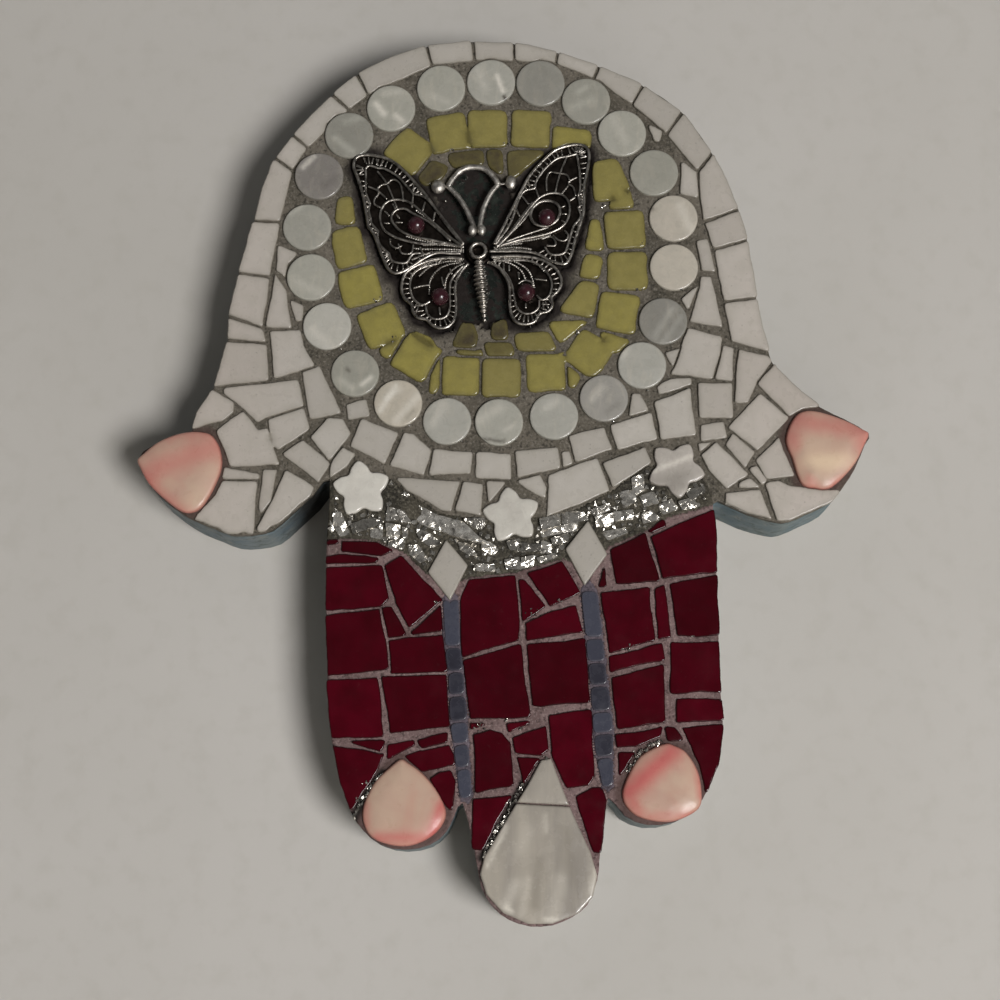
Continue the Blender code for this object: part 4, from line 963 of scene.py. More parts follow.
# Each wing: the outer rim, then its inner rims, loops, veins, ribs and short marks, in the view's units
WINGS = {
    "upper_left": {
        "rim": (463.3, 243.3, 450, 226.7, 436.7, 210, 423.3, 191.7, 408.3, 175, 396.7, 163.7, 385, 157.5,
            370, 154.5, 360, 155.3, 355, 159.2, 353.8, 166.7, 357.5, 176.7, 361.7, 190, 364.7, 203.3,
            367.5, 220, 368.7, 226.7, 373.7, 233.3, 378.3, 245, 383.3, 258.3, 388.3, 268.3, 395, 272.8,
            403.3, 270.8, 413.3, 265, 423.3, 258.3, 436.7, 252.5, 450, 253, 460, 253),
        "inner": ((365.5, 168.3, 369.2, 165, 378.3, 167.5), (378.3, 167.5, 385, 168.3, 396.7, 175, 403.3,
            181.7, 413.3, 193.3), (413.3, 193.3, 423.3, 195.8, 433.3, 205, 443.3, 220, 455, 235, 463.3,
            244.2), (365.5, 168.3, 365.8, 178.3, 365.8, 191.7, 370, 203.3), (370, 203.3, 368.7, 210,
            370.8, 218.3), (370.8, 218.3, 371.7, 223.3, 378.3, 230.8), (378.3, 230.8, 377.5, 235, 380,
            244.2, 389.2, 253.3), (389.2, 253.3, 391.7, 260, 400, 262.5, 406.7, 261.7, 410, 256.7, 413.3,
            253.3, 420, 252.5)),
        "loops": ((463.3, 246.7, 446.7, 243.3, 423.3, 243.3, 405, 240, 391.7, 235, 383.3, 228.3, 380,
            218.3, 381.7, 208.3, 388.3, 200.8, 400, 199.2, 411.7, 203.3, 423.3, 213.3, 436.7, 225, 450,
            236.7, 461.7, 245), (445, 242.5, 430, 239.2, 413.3, 235.8, 400, 230, 392.5, 221.7, 391.7, 215,
            396.7, 209.2, 405, 208.3, 413.3, 213.3, 426.7, 220, 438.3, 229.2, 450, 240)),
        "veins": ((377.5, 170.8, 386.7, 183.3, 396.7, 206.7), (377.5, 187.5, 381.7, 184.2, 386.7, 183.3),
            (386.7, 183.3, 391.7, 179.2, 396.7, 180, 400.8, 185, 402.5, 193.3, 403.3, 200.8), (377.5,
            187.5, 378.3, 193.3, 375, 197.5, 374.2, 203.3, 380, 206.7), (368.3, 185.8, 377.5, 190, 386.7,
            198.3), (413.3, 193.3, 412.5, 200, 411.7, 206.7), (425, 201.7, 423.7, 206, 422.5, 210), (435,
            211.7, 434, 216, 433.3, 220), (390, 238.3, 390.8, 244.2, 396.7, 247.5, 401.7, 245), (398.3,
            243.3, 400.8, 251.7, 406.7, 253.3, 411.7, 251.7, 413.3, 244.2), (420, 246.7, 423.3, 253.3,
            430, 252.5)),
        "ribs": ((463.3, 246.7, 443.3, 244.2, 423.3, 244.2), (463.3, 249.2, 443.3, 248.3, 423.3, 248.3,
            413.3, 247.5), (462.5, 245.8, 445, 241.7, 425, 240.5, 406, 235.5), (460, 244, 444, 232.5, 429,
            219, 416, 209.5), (463.3, 251, 446, 250.7, 428, 252.5, 412, 259)),
        "marks": ((392.5, 203.3, 395.5, 208.3), (385, 210.8, 389.2, 215), (384.2, 222.5, 389.2, 222.5),
            (396.7, 214.2, 399.2, 217.5), (395.8, 221.7, 402.5, 221.7)),
    },
    "lower_left": {
        "rim": (461.7, 258.3, 446.7, 257.5, 430, 260, 416.7, 265, 406.7, 271.7, 402.5, 280, 401.7, 290,
            405, 298.3, 411.7, 304.2, 413.3, 311.7, 418.3, 317.5, 426.7, 319.2, 431.7, 324.2, 438.3,
            327.5, 446.7, 326.7, 453.3, 320.8, 455.8, 311.7, 455.8, 300, 455, 288.3, 457.5, 278.3, 463.3,
            268.3, 468.3, 263.3),
        "inner": ((436.7, 263.3, 423.3, 266.7, 413.3, 273.3, 410, 283.3, 411.7, 295, 416.7, 301.7, 423.3,
            304.2, 430, 300.8), (425.8, 305, 426.7, 311.7, 431.7, 317.5, 440, 318.3, 446.7, 315, 449.7,
            306.7, 449.7, 295, 450.3, 283.3, 454.2, 275, 463.3, 265)),
        "loops": (),
        "veins": ((413.3, 287.5, 421, 285.5, 430, 284.2), (441.7, 276.7, 442.5, 281, 443.3, 285), (450,
            268.3, 451, 271, 451.7, 273.3), (439.2, 306.7, 439.6, 310, 440, 314)),
        "ribs": ((463.3, 258.3, 446.7, 258, 430, 261.7, 416.7, 268.3), (429.2, 293.3, 430, 280, 436.7,
            270, 446.7, 264.2, 460, 261.7), (462, 259.8, 445, 261, 430, 266, 419, 275), (464, 262.5, 455,
            267, 447, 276, 444.5, 288)),
        "marks": (),
    },
    "upper_right": {
        "rim": (494.2, 243.3, 503.3, 226.7, 513.3, 206.7, 521.7, 190, 530, 175, 543.3, 160, 555, 150,
            568.3, 145.3, 580, 144.2, 587.5, 148.3, 589.2, 158.3, 586.7, 173.3, 584.2, 186.7, 584.2, 200,
            583.3, 213.3, 579.2, 226.7, 575, 240, 571.7, 253.3, 566.7, 262.5, 560, 263.3, 550, 260, 536.7,
            253.3, 521.7, 250.8, 505, 250.8, 490, 250.8),
        "inner": ((496, 243, 510, 223.3, 521.7, 193.3, 535, 187.5), (535, 187.5, 536.7, 180, 545, 168.3,
            556.7, 158.3, 566.7, 155.8, 576.7, 153.3), (576.7, 153.3, 578.3, 161.7, 580, 175, 580, 190,
            578.3, 195), (578.3, 195, 580, 205, 578.3, 206.7), (578.3, 206.7, 580.8, 215, 578.3, 220,
            573.3, 226.7, 568.3, 243.3, 565, 251.7, 558.3, 254.2, 550, 253.3, 545, 246.7)),
        "loops": ((496.7, 246.7, 510, 233.3, 521.7, 218.3, 531.7, 205, 541.7, 195.8, 553.3, 192.5, 563.3,
            195, 569.2, 203.3, 569.2, 215, 563.3, 225, 551.7, 231.7, 536.7, 235.8, 520, 239.2, 500, 245),),
        "veins": ((566.7, 156.7, 560, 173.3, 555, 193.3), (546.7, 190, 546.7, 178.3, 550, 171.7, 558.3,
            172.5, 566.7, 174.2, 570, 180), (568.3, 181.7, 572, 179, 576.7, 176.7), (568.3, 183.3, 573.3,
            186.7, 575.8, 195), (568.3, 185, 565, 189, 561.7, 193.3), (575, 196.7, 572.5, 198.5, 570,
            200), (521.7, 195, 525, 199, 528.3, 203.3), (535.8, 188.3, 537, 192, 538.3, 195.8), (515.8,
            206.7, 517.5, 211, 519.2, 215), (530.8, 210, 521.7, 221.7, 506.7, 236.7), (548.3, 226.7, 535,
            230.8, 520, 235.8, 506.7, 240.8), (541.7, 238.3, 550, 235.8, 555, 240, 555, 245, 546.7, 245),
            (553.3, 235, 558.3, 239.2, 565, 240, 568.3, 235, 565, 230)),
        "ribs": ((494.2, 246.7, 506.7, 244.2, 521.7, 242.5), (495, 248.3, 513.3, 246.7, 531.7, 248.3),
            (497, 244.5, 511, 230, 522, 215, 532.5, 201.5), (499, 246, 518, 241.2, 536, 238.3, 550, 234),
            (494, 249.8, 510, 249.2, 526, 250.3, 540, 254)),
        "marks": ((561.7, 206.7, 565, 205), (562.5, 213.3, 566.7, 213.3), (561.7, 220, 565, 221.7)),
    },
    "lower_right": {
        "rim": (488.3, 261.7, 498.3, 266.7, 505, 275, 509.2, 285, 510, 296.7, 510, 306.7, 512.5, 316.7,
            518.3, 322.5, 526.7, 323.7, 535, 320.8, 540, 313.3, 548.3, 310.8, 552.5, 305, 551.7, 296.7,
            558.3, 290, 561.7, 281.7, 558.3, 271.7, 550, 263.3, 538.3, 258.3, 521.7, 255.8, 505, 255.8,
            491.7, 256.7),
        "inner": ((496.7, 260, 526.7, 260, 538.3, 264.2, 546.7, 271.7, 551.7, 281.7, 550.8, 291.7, 546.7,
            297.5, 541.7, 299.2, 536.7, 295), (491.7, 261.7, 501.7, 269.2, 508.3, 276.7, 512.5, 286.7,
            514.2, 296.7, 516.7, 306.7, 523.3, 312.5, 531.7, 312.5, 538.3, 307.5, 539.2, 300)),
        "loops": (),
        "veins": ((535, 278.3, 541, 279, 546.7, 279.7), (518.3, 271.7, 518.8, 275, 519.2, 278.3), (509.2,
            265, 509.2, 267.5, 509.2, 270), (525.8, 302.5, 525.8, 305, 525.8, 307.5), (518.3, 283.3,
            523.3, 280, 530, 280.8, 533.3, 285)),
        "ribs": ((505, 258.3, 516.7, 261.7, 526.7, 268.3, 531.7, 276.7, 534.2, 286.7), (494, 258.5, 510,
            262.5, 521, 270, 526, 280), (497, 257.5, 520, 258.3, 536, 263, 545, 271)),
        "marks": (),
    },
}
PEARL_RING = (530.8, 216.7, 532.5, 208.3, 540, 201.7, 550, 200.8, 558.3, 205, 560, 213.3, 555, 221.7,
              545, 225.8, 535, 223.3)
ARCH = (448.3, 186.3, 453.3, 178.3, 461.7, 170, 473.3, 167, 485, 169.2, 493.3, 176.7, 498.3, 184.2)
ANTENNAE = ((448.3, 186.3, 458.3, 196.7, 466.7, 210, 472.5, 223.3, 474.7, 230),
            (498.3, 184.2, 490.8, 193.3, 484.2, 206.7, 480.8, 220, 480, 230))
STUBS = ((437, 187, 443, 186, 449.2, 185.8), (511, 182.5, 505, 183, 500, 183.5))
BODY = (479.2, 262, 480, 275, 481.5, 290, 483, 305, 484.5, 321)
# Radius and level of each kind of wire, in millimetres
WIRES = {
    "rim": (0.43, 20.0), "inner": (0.33, 19.96), "loops": (0.35, 20.0), "veins": (0.27, 19.92),
    "ribs": (0.3, 19.8), "marks": (0.25, 19.9), "dashes": (0.23, 19.9), "pearl ring": (0.42, 20.1),
    "arch": (0.76, 20.3), "antennae": (0.68, 20.3), "stubs": (0.36, 19.9), "body": (0, 20.0),
    "spike": (0.8, 19.8), "hub top": (0.5, 20.6), "hub foot": (0.46, 20.0),
}
# The beads on the antennae: across, down, and their half width and half height in millimetres
BEADS = ((438.2, 186.7, 1.85, 1.85), (511.0, 182.5, 1.45, 2.0), (472.4, 230.3, 1.15, 1.55),
         (481.7, 230.3, 1.15, 1.55))
BODY_SIZE = ((0.0, 0.12, 0.35, 0.6, 0.85, 1.0), (1.1e-3, 1.35e-3, 1.6e-3, 1.3e-3, 0.75e-3, 0.4e-3))


def butterfly():
    """The ornament: a dark plate for each wing, and every wire and bead on them."""
    plates, wires, proud = Sheets(), Sheets(), Sheets()
    for wing in WINGS.values():
        rim = line(wing["rim"], RIM)
        edge = wound(strand(rim, 0.5 * MM)[0])
        slab(plates, edge - outward(edge) * 0.1 * MM, PLATE_FOOT, 0.0194, bevel=0.2 * MM, tilt=0.0,
             wave=0.03 * MM, grid=0.9 * MM)
        lay(wires, "rim", rim, flat=1.0)
        for path in wing["inner"]:
            lay(wires, "inner", line(path, RIM))
            dashes(wires, rim, line(path, RIM))
        for path in wing["loops"]:
            lay(wires, "loops", line(path, RIM), flat=1.0)
        for path in wing["veins"]:
            lay(wires, "veins", line(path, RIM))
        for path in wing["ribs"]:
            lay(wires, "ribs", line(path, RIM), twist=0.3, pitch=0.62 * MM, step=0.12 * MM)
        for path in wing["marks"]:
            lay(wires, "marks", line(path, RIM), step=0.5 * MM)
    lay(wires, "pearl ring", line(PEARL_RING, RIM), closed=True)
    hub = spot(478.3, 250.8, RIM)

    def ring(radius, count):
        return np.array([hub + Vector((math.cos(a), math.sin(a))) * radius * MM
                         for a in np.linspace(0, 2 * math.pi, count, endpoint=False)])

    slab(plates, ring(3.3, 40), PLATE_FOOT, 0.0191, bevel=0.3 * MM, tilt=0.0)
    for kind, radius in (("hub top", 1.92), ("hub foot", 2.0)):
        lay(wires, kind, ring(radius, 16), closed=True, flat=1.1, sides=10)
    lay(proud, "arch", line(ARCH, RIM), sides=12)
    for path in ANTENNAE:
        lay(proud, "antennae", line(path, RIM), sides=12)
    for path in STUBS:
        lay(wires, "stubs", line(path, RIM))
    for across, down, wide, tall in BEADS:
        ball(proud, spot(across, down, RIM), WIRES["antennae"][1] * MM, wide * MM, tall * MM, 1.25 * MM)
    lay(wires, "body", line(BODY, RIM), radii=BODY_SIZE, twist=0.24, pitch=1.2 * MM, sides=16, step=0.1 * MM)
    lay(wires, "spike", line((479, 258, 479.1, 262, 479.2, 266), RIM), sides=12)
    plates.piece("wing_plates", LOOKS["plate"], "old_silver", ("butterfly",))
    wires.piece("wing_wires", LOOKS["wire"], "old_silver", ("butterfly",))
    proud.piece("antenna_wires", LOOKS["rubbed"], "old_silver", ("butterfly",))


butterfly()


def pearl(name, node, radius=2.3 * MM):
    """A round bead sunk in its cup."""
    low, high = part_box(node)
    sheets = Sheets()
    middle = ((low.x + high.x) / 2, (low.z + high.z) / 2)
    ball(sheets, middle, -low.y - radius, radius, radius, radius, 16, 30)
    return sheets.piece(name, LOOKS["bead"], "wine_pearl", (node,))


for i in (1, 2, 3, 4):
    pearl(f"wine_bead_{i}", f"pearl_{i}")


# Dark glass under it
for side in ("upper", "lower"):
    edge = curved(back_outline(f"dark_glass_{side}"), 3)
    sheets = Sheets()
    slab(sheets, edge, BED + 0.05 * MM, -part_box(f"dark_glass_{side}")[0].y, bevel=0.4 * MM, tilt=0.0,
         wave=0.12 * MM, grid=0.8 * MM)
    sheets.piece(f"glass_pane_{side}", LOOKS["dark"], "dark_glass", (f"dark_glass_{side}",))

# Lines of crinkled foil against the drops: from, to, how many flecks, how dark the grout is under them
FOIL_LINES = (
    (354, 818, 361, 801, 16, 1.0), (361, 801, 382, 773, 34, 1.0), (482, 858, 501, 824, 34, 1.0),
    (501, 824, 524, 783, 30, 1.0), (628, 772, 640, 752, 14, 0.1), (640, 752, 662, 740, 26, 0.1),
)


def stretch_to(p, x0, y0, x1, y1):
    """The distance from a place to a straight line between two places given in the view's units."""
    a, b, p = np.array(spot(x0, y0, FACE)), np.array(spot(x1, y1, FACE)), np.array((p[0], p[1]))
    along = np.clip((p - a) @ (b - a) / ((b - a) @ (b - a)), 0, 1)
    return float(np.linalg.norm(p - (a + (b - a) * along)))


# Grout
ZONES = {"white_mosaic": "palm", "green_mosaic": "palm", "mirror_band": "mirror"}
ZONE_LOOKS = {
    "palm": ("palm_grout", "palm", "white_tile", ("white_mosaic", "green_mosaic")),
    "mirror": ("mirror_bed", "silver_bed", "mirror_shard", ("mirror_band",)),
    "red_left": ("red_grout_left", "mauve", "red_tile", ("red_left",)),
    "red_middle": ("red_grout_middle", "mauve", "red_tile", ("red_middle",)),
    "red_right": ("red_grout_right", "mauve", "red_tile", ("red_right",)),
    "blue_strip_left": ("blue_grout_left", "pinkish", "blue_tile", ("blue_strip_left",)),
    "blue_strip_right": ("blue_grout_right", "pinkish", "blue_tile", ("blue_strip_right",)),
}


def grout():
    """One bed of grout between all the pieces, parted by field."""
    pitch = 0.55 * MM
    edge = board_edge - outward(board_edge) * 0.12 * MM
    edge = nipped(edge, 0, 0.8 * MM, 0.08 * MM, 5.0)
    low, high = edge.min(0), edge.max(0)
    xs, ys = np.arange(low[0], high[0], pitch), np.arange(low[1], high[1], pitch)
    grid = np.array([(x + (k % 2) * pitch / 2, y) for k, y in enumerate(ys) for x in xs])
    grid = grid + np.array([(rng.uniform(-1, 1), rng.uniform(-1, 1)) for _ in grid]) * pitch * 0.3
    free = np.ones(len(grid), bool)
    for start in range(0, len(grid), 4000):
        part = grid[start:start + 4000]
        free[start:start + 4000] = inside(part, edge)
    for seat in seats:
        box_low, box_high = seat.min(0) - pitch, seat.max(0) + pitch
        near = np.nonzero(free & (grid > box_low).all(1) & (grid < box_high).all(1))[0]
        if len(near):
            spots = grid[near]
            free[near] &= ~(inside(spots, seat) | (reach(spots, seat) < 0.22 * MM))
    loose = grid[free]
    loops = [edge] + [seat - outward(seat) * 0.15 * MM for seat in seats]
    points, faces = [], []
    for loop in loops:
        faces.append(list(range(len(points), len(points) + len(loop))))
        points += list(loop)
    flat, cells, sources = cut_flat(points + list(loose), faces)
    seated = np.zeros(len(flat), bool)
    for cell, source in zip(cells, sources):
        if any(s > 0 for s in source):
            seated[list(cell)] = True
    halves = [(seat + np.roll(seat, -1, axis=0)) / 2 for seat in seats]
    rims = tree_of(np.vstack(seats + halves))
    marks = tree_of([p for p, _ in labels])
    sunk = np.zeros(len(flat), bool)
    for level, sunk_loops in flats("green_mosaic", -1):
        if level < GROUT - 0.5 * MM:
            sunk |= inside(flat, wound(sunk_loops[0]))
    wings = tree_of(np.vstack([strand(line(wing["rim"], RIM), 0.8 * MM)[0] for wing in WINGS.values()]))
    pinks = tree_of(np.vstack(pink_edges))
    edges = tree_of(edge)
    height, dark, rust = [], [], []
    for i, p in enumerate(flat):
        where = (p[0], p[1], 0)
        rim = rims.find(where)[2]
        zone = labels[marks.find(where)[1]][1]
        rough = (noise.noise((p[0] * 700, p[1] * 700, 3.0)) * 0.1
                 + noise.noise((p[0] * 1700, p[1] * 1700, 9.0)) * 0.07)
        level = GROUT + (0.28 if zone in ("white_mosaic", "green_mosaic") else 0.2) * MM
        level += 0.12 * MM * math.exp(-rim / (0.3 * MM)) + rough * MM
        if seated[i]:
            level = GROUT + 0.1 * MM
        if sunk[i]:
            level = RECESS + rough * MM
        if edges.find(where)[2] < 0.5 * MM:
            level -= 0.25 * MM
        height.append(level)
        # Painted shade: grout in the green field's recess and near the wing rims is darkened where the
        # butterfly shades it; grout under the foil lines is darkened as the foil lines give.
        away = wings.find(where)[2] / MM + noise.noise((p[0] * 260, p[1] * 260, 1.0)) * 1.2
        foil = max((1.7 - stretch_to(p, *foil_line[:4]) / MM) * foil_line[5] for foil_line in FOIL_LINES)
        dark.append(1.0 if sunk[i] else max(0.0, min(1.0, max((3.6 - away) / 2.2, foil))))
        rust.append(max(0.0, min(1.0, (2.6 - pinks.find(where)[2] / MM) / 1.6)))
    parts = {}
    for cell in cells:
        middle = flat[list(cell)].mean(0)
        zone = labels[marks.find((middle[0], middle[1], 0))[1]][1]
        parts.setdefault(ZONES.get(zone, zone), []).append(cell)
    for zone, members in parts.items():
        used = sorted({i for cell in members for i in cell})
        place = {i: k for k, i in enumerate(used)}
        tops = [(flat[i][0], -height[i], flat[i][1]) for i in used]
        lows = [(x, -BED, z) for x, _, z in tops]
        closed = shut([[place[i] for i in cell] for cell in members], len(used))
        sheets = Sheets()
        sheets.add(tops + lows, closed, dark=[dark[i] for i in used] * 2, rust=[rust[i] for i in used] * 2)
        name, look, slot, nodes = ZONE_LOOKS[zone]
        sheets.piece(name, LOOKS[look], slot, nodes)


grout()


# Broken mirror
# The larger pieces of broken mirror, by corners in the view's units
SHARDS = (
    (387.4, 491.2, 395, 490, 414.2, 504, 437, 514.2, 462.7, 524.4, 483, 542.2, 472.9, 542.2, 439.7, 532,
        416.7, 523, 391.2, 498.9), (333.8, 511.6, 341.5, 511.6, 349, 533.3, 341.5, 535.9, 335, 527),
    (350.4, 524.4, 368.3, 515.5, 384.8, 520.6, 368.3, 528.2, 353, 533.3),
    (387.4, 509, 397.6, 509, 397.6, 520.6, 387.4, 520.6),
    (398.9, 511.6, 404, 511.6, 410.4, 523, 400, 520.6), (370.8, 528, 382.3, 530.8, 382.3, 537, 372, 535.9),
    (387.4, 524.4, 400, 524.4, 400, 538.4, 386, 537), (401.4, 528, 407.8, 528, 407.8, 537, 401.4, 535.9),
    (415.5, 528, 425.7, 530.8, 439.7, 542.2, 432, 546, 419.3, 537),
    (388.7, 539.7, 404, 539.7, 404, 548.6, 390, 546),
    (406.5, 544.8, 416.7, 546, 428.2, 560, 419.3, 561.4, 409, 552.4),
    (462.7, 518, 483, 519.3, 485.6, 530.8, 472.9, 528.2),
    (457.6, 542.2, 469, 542.2, 475.4, 556.3, 469, 555, 460, 548.6),
    (483, 542.2, 492, 542.2, 506, 555, 495.8, 558.8, 483, 548.6),
    (472.9, 565.2, 495.8, 563.9, 495.8, 570.3, 474, 570.3),
    (508.6, 539.7, 518.8, 539.7, 517.5, 551, 509.8, 549.9),
    (520, 542.2, 539.2, 543.5, 539.2, 551, 518.8, 551),
    (541.7, 539.7, 551.9, 542.2, 550.7, 552.4, 540.5, 551),
    (506, 560, 520, 557.5, 521.3, 567.8, 506, 567.8), (521.3, 558.8, 534, 557.5, 534, 565.2, 522.6, 566.5),
    (537.9, 557.5, 555.8, 552.4, 555.8, 557.5, 539.2, 562.6),
    (540.5, 519.3, 559.6, 514.2, 560.9, 524.4, 543, 528.2),
    (560.9, 512.9, 582.6, 511.6, 587.7, 518, 564.7, 521.8),
    (540.5, 530.8, 577.4, 523, 577.4, 528.2, 541.7, 535.9),
    (551.9, 537, 567.2, 532, 567.2, 542.2, 554.5, 546),
    (590.2, 511.6, 608, 502.7, 610.6, 509, 595.3, 516.7),
    (595.3, 518, 613, 514.2, 613, 525.7, 597.9, 528.2), (603, 532, 623.4, 526.9, 627.2, 530.8, 608, 538.4),
    (614.4, 511.6, 633.6, 510.4, 633.6, 518, 615.7, 519.3),
    (618.3, 491.2, 633.6, 488.7, 636, 501.4, 623.4, 506.5),
    (632.3, 477.2, 642.5, 474.6, 645, 491.2, 634.8, 493.8),
    (640, 496.3, 654, 491.2, 659, 501.4, 643.8, 506.5), (641.2, 514.2, 651.4, 510.4, 659, 518, 643.8, 523),
    (659, 504, 671.8, 500, 678.2, 509, 664.2, 514.2), (679.5, 501.4, 694.8, 496.3, 700, 504, 682, 509),
    (684.6, 491.2, 705, 484.8, 706.3, 492.5, 689.7, 497.6),
)
# Places where a few flecks of mirror lie in the grout or against an edge: x, y, spread and how many
FLECKS = (
    (437, 601, 3, 4), (534, 614, 10, 9), (560, 601, 3, 3), (628, 648, 5, 5), (480, 725, 9, 8),
    (507, 720, 3, 3), (520, 727, 4, 4), (702, 637, 9, 4), (461, 441, 3, 4), (412, 425, 3, 3),
    (612, 421, 3, 3), (648, 389, 3, 2), (682, 290, 4, 3), (642, 243, 3, 4), (640, 289, 3, 3),
    (578, 333, 4, 4), (605, 206, 3, 4), (377, 300, 4, 4), (394, 336, 7, 5), (338, 350, 3, 3),
    (505, 143, 4, 4), (448, 150, 5, 3), (358, 800, 4, 7), (366, 784, 5, 7), (638, 755, 6, 8),
    (655, 744, 6, 8), (630, 766, 3, 4), (500, 825, 4, 4), (510, 803, 4, 4), (546, 757, 3, 3),
    (446, 201, 2, 1), (467, 178, 2, 1), (452, 330, 2, 2), (531, 327, 2, 2), (401, 311, 2, 2),
    (486, 322, 3, 2),
)


def crumpled(sheets, edge, base, lean, rough, thick=0.6 * MM, grid=0.85 * MM, tone=None):
    """A piece of foil-backed glass with a creased face."""
    edge = wound(edge)
    low, high = edge.min(0), edge.max(0)
    spots = [np.array((rng.uniform(low[0], high[0]), rng.uniform(low[1], high[1])))
             for _ in range(int(4 * (high - low).prod() / grid ** 2) + 6)]
    kept = []
    for p in spots:
        if inside(p[None], edge)[0] and reach(p[None], edge)[0] > 0.25 * MM:
            if all(np.linalg.norm(p - q) > grid for q in kept):
                kept.append(p)
    flat, faces, _ = cut_flat(list(edge) + kept, [list(range(len(edge)))])
    gap = reach(flat, edge)
    middle = edge.mean(0)
    height = base + (flat - middle) @ np.array(lean) + np.array([rng.uniform(-rough, rough) for _ in flat])
    height = np.where(gap < 1e-6, height - 0.08 * MM, height)
    points = [(p[0], -h, p[1]) for p, h in zip(flat, height)]
    points += [(p[0], -(base - thick), p[1]) for p in flat]
    sheets.add(points, shut(faces, len(flat)), tone=rng.random() if tone is None else tone)


def chip(place, size):
    """The outline of a small broken bit."""
    sides = rng.choice((3, 4, 4, 5))
    start, slim, way = rng.uniform(0, 6.28), rng.uniform(0.5, 1.0), rng.uniform(0, 3.14)
    out = []
    for k in range(sides):
        a = start + 2 * math.pi * (k + rng.uniform(-0.25, 0.25)) / sides
        v = np.array((math.cos(a), math.sin(a) * slim)) * size * rng.uniform(0.8, 1.1)
        out.append(place + np.array((v[0] * math.cos(way) - v[1] * math.sin(way),
                                     v[0] * math.sin(way) + v[1] * math.cos(way))))
    return np.array(out)


def mirror_bits():
    """Broken silvered glass: the larger pieces, then crumbs in the gaps between them."""
    region = back_outline("mirror_band")
    covers = [seat for seat in seats if inside(seat.mean(0)[None], region)[0]
              or reach(seat.mean(0)[None], region)[0] < 8 * MM]
    sheets = Sheets()
    taken = []
    for number, flat in enumerate(SHARDS):
        corners = [p + Vector((rng.uniform(-1, 1), rng.uniform(-1, 1))) * 0.4 * MM for p in line(flat)]
        edge = nipped(np.array(corners), 0.15 * MM, 0.9 * MM, 0.16 * MM, rng.uniform(0, 40))
        edge = edge + outward(edge) * 0.2 * MM
        taken.append(edge)
        crumpled(sheets, edge, GROUT + rng.uniform(0.45, 0.8) * MM, (rng.gauss(0, 0.12), rng.gauss(0, 0.12)),
                 0.3 * MM, grid=1.05 * MM, tone=rng.uniform(0.25, 1.1) if number else 1.5)
    low, high = region.min(0), region.max(0)
    placed = []
    for _ in range(6500):
        p = np.array((rng.uniform(low[0], high[0]), rng.uniform(low[1], high[1])))
        if not inside(p[None], region)[0] or reach(p[None], region)[0] < 0.7 * MM:
            continue
        if any(abs(p - q).max() < 1.15 * MM for q in placed):
            continue
        if any(inside(p[None], t)[0] or reach(p[None], t)[0] < 0.45 * MM for t in taken + covers):
            continue
        placed.append(p)
        crumpled(sheets, chip(p, rng.uniform(0.5, 1.0) * MM), GROUT + rng.uniform(0.25, 0.6) * MM,
                 (rng.gauss(0, 0.2), rng.gauss(0, 0.2)), 0.07 * MM)
    return sheets.piece("mirror_bits", LOOKS["mirror"], "mirror_shard", ("mirror_band",), smooth=False)


def mirror_flecks():
    """Stray flecks of mirror in the grout of the other fields."""
    sheets = Sheets()
    for across, down, spread, count in FLECKS:
        for _ in range(count):
            p = np.array(spot(across + rng.gauss(0, 0.5) * spread, down + rng.gauss(0, 0.35) * spread))
            crumpled(sheets, chip(p, rng.uniform(0.16, 0.42) * MM), FACE + rng.uniform(-0.1, 0.12) * MM,
                     (rng.gauss(0, 0.3), rng.gauss(0, 0.3)), 0.03 * MM, 0.9 * MM)
    for x0, y0, x1, y1, count, _ in FOIL_LINES:
        for k in range(count):
            t = (k + 0.5) / count
            p = np.array(spot(x0 + (x1 - x0) * t + rng.uniform(-1.6, 1.6),
                              y0 + (y1 - y0) * t + rng.uniform(-1.6, 1.6)))
            crumpled(sheets, chip(p, rng.uniform(0.22, 0.5) * MM), FACE + rng.uniform(-0.05, 0.15) * MM,
                     (rng.gauss(0, 0.35), rng.gauss(0, 0.35)), 0.05 * MM, 0.9 * MM)
    return sheets.piece("mirror_flecks", LOOKS["mirror"], "mirror_shard", smooth=False)


mirror_bits()
mirror_flecks()


# Stage, light
def stage_piece(name, points, faces, look):
    """A flat piece of the stage."""
    mesh = bpy.data.meshes.new(name)
    mesh.from_pydata(points, [], faces)
    mesh.update()
    made = bpy.data.objects.new(name, mesh)
    bpy.context.scene.collection.objects.link(made)
    if mesh.polygons[0].normal.y > 0:
        mesh.flip_normals()
    mesh.materials.append(look)


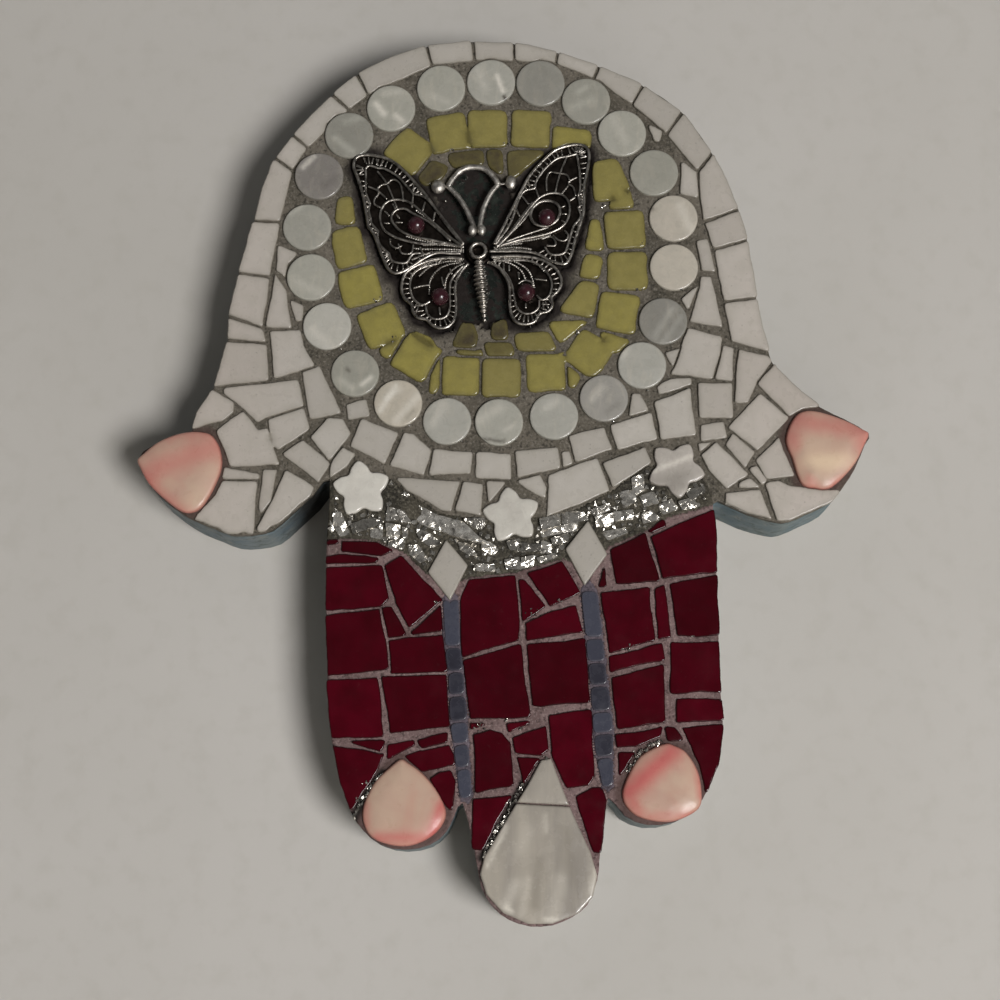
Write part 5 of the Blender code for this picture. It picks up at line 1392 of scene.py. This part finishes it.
def stage():
    """A plain pale wall, left out behind the plaque and clear from behind, and a floor at its foot."""
    wide, tall, foot, deep, back = 1.9, 1.3, -1.35, -2.5, 0.0003
    m = Look("wall_plaster", 0.8, Specular_IOR_Level=0.2)
    tint = m.mix(m.fit(m.noise(7, 4), 0.35, 0.65), linear(196, 192, 185), linear(203, 199, 193))
    tint = m.patches(m.noise(160, 4), 0.5, 0.72, 0.25, tint, linear(184, 180, 170))
    m.finish(tint, None, ((m.noise(500, 3), 0.06, 0.0004),))
    clear = m.node("ShaderNodeBsdfTransparent").outputs[0]
    behind = m.node("ShaderNodeNewGeometry").outputs["Backfacing"]
    both = m.node("ShaderNodeMixShader", ((0, behind), (1, m.shader.outputs[0]), (2, clear))).outputs[0]
    m.tree.links.new(both, m.tree.nodes["Material Output"].inputs["Surface"])
    corners = [(-wide, foot), (wide, foot), (wide, tall), (-wide, tall)]
    points = corners + [tuple(p) for p in board_edge - outward(board_edge) * 0.6 * MM]
    flat, faces, sources = cut_flat(points, [list(range(4)), list(range(4, len(points)))])
    keep = [tuple(face) for face, source in zip(faces, sources) if 1 not in source]
    stage_piece("wall", [(x, back, z) for x, z in flat], keep, m.mat)
    f = Look("floor_pale", 0.7)
    f.finish(f.mix(f.fit(f.noise(12, 4), 0.35, 0.65), linear(206, 202, 195), linear(214, 210, 203)))
    points = [(-wide, back, foot), (-wide, deep, foot), (wide, deep, foot), (wide, back, foot)]
    stage_piece("floor", points, [(0, 1, 2, 3)], f.mat)


stage()


def lamp(name, place, size, power, colour, aim=(0, -0.01, 0)):
    """A round soft lamp, turned to the plaque."""
    data = bpy.data.lights.new(name, "AREA")
    data.shape = "DISK"
    data.size = size
    data.energy = power
    data.color = colour
    made = bpy.data.objects.new(name, data)
    bpy.context.scene.collection.objects.link(made)
    made.location = place
    made.rotation_euler = (Vector(aim) - Vector(place)).to_track_quat("-Z", "Y").to_euler()


lamp("key", (1.0, -1.82, -0.78), 0.8, 37.8, (1.0, 0.99, 0.985))
lamp("fill", (-0.6, -0.9, 0.9), 1.0, 0.5, (0.97, 0.98, 1.0))
lamp("rear", (0.4, 0.9, 0.6), 0.7, 10.0, (1.0, 0.99, 0.96))

world = bpy.data.worlds.new("room")
world.use_nodes = True
bpy.context.scene.world = world
tree = world.node_tree
background = tree.nodes["Background"]
coords = tree.nodes.new("ShaderNodeTexCoord")
split = tree.nodes.new("ShaderNodeSeparateXYZ")
tree.links.new(coords.outputs["Generated"], split.inputs[0])
ramp = tree.nodes.new("ShaderNodeValToRGB")
tree.links.new(split.outputs["Z"], ramp.inputs[0])
SKY = ((0.0, (0.16, 0.16, 0.155, 1)), (0.8, (0.42, 0.42, 0.41, 1)))
for stop, (height, colour) in zip(ramp.color_ramp.elements, SKY):
    stop.position = height
    stop.color = colour
tree.links.new(ramp.outputs[0], background.inputs[0])
background.inputs[1].default_value = 0.27

bpy.context.scene.view_settings.view_transform = "Standard"
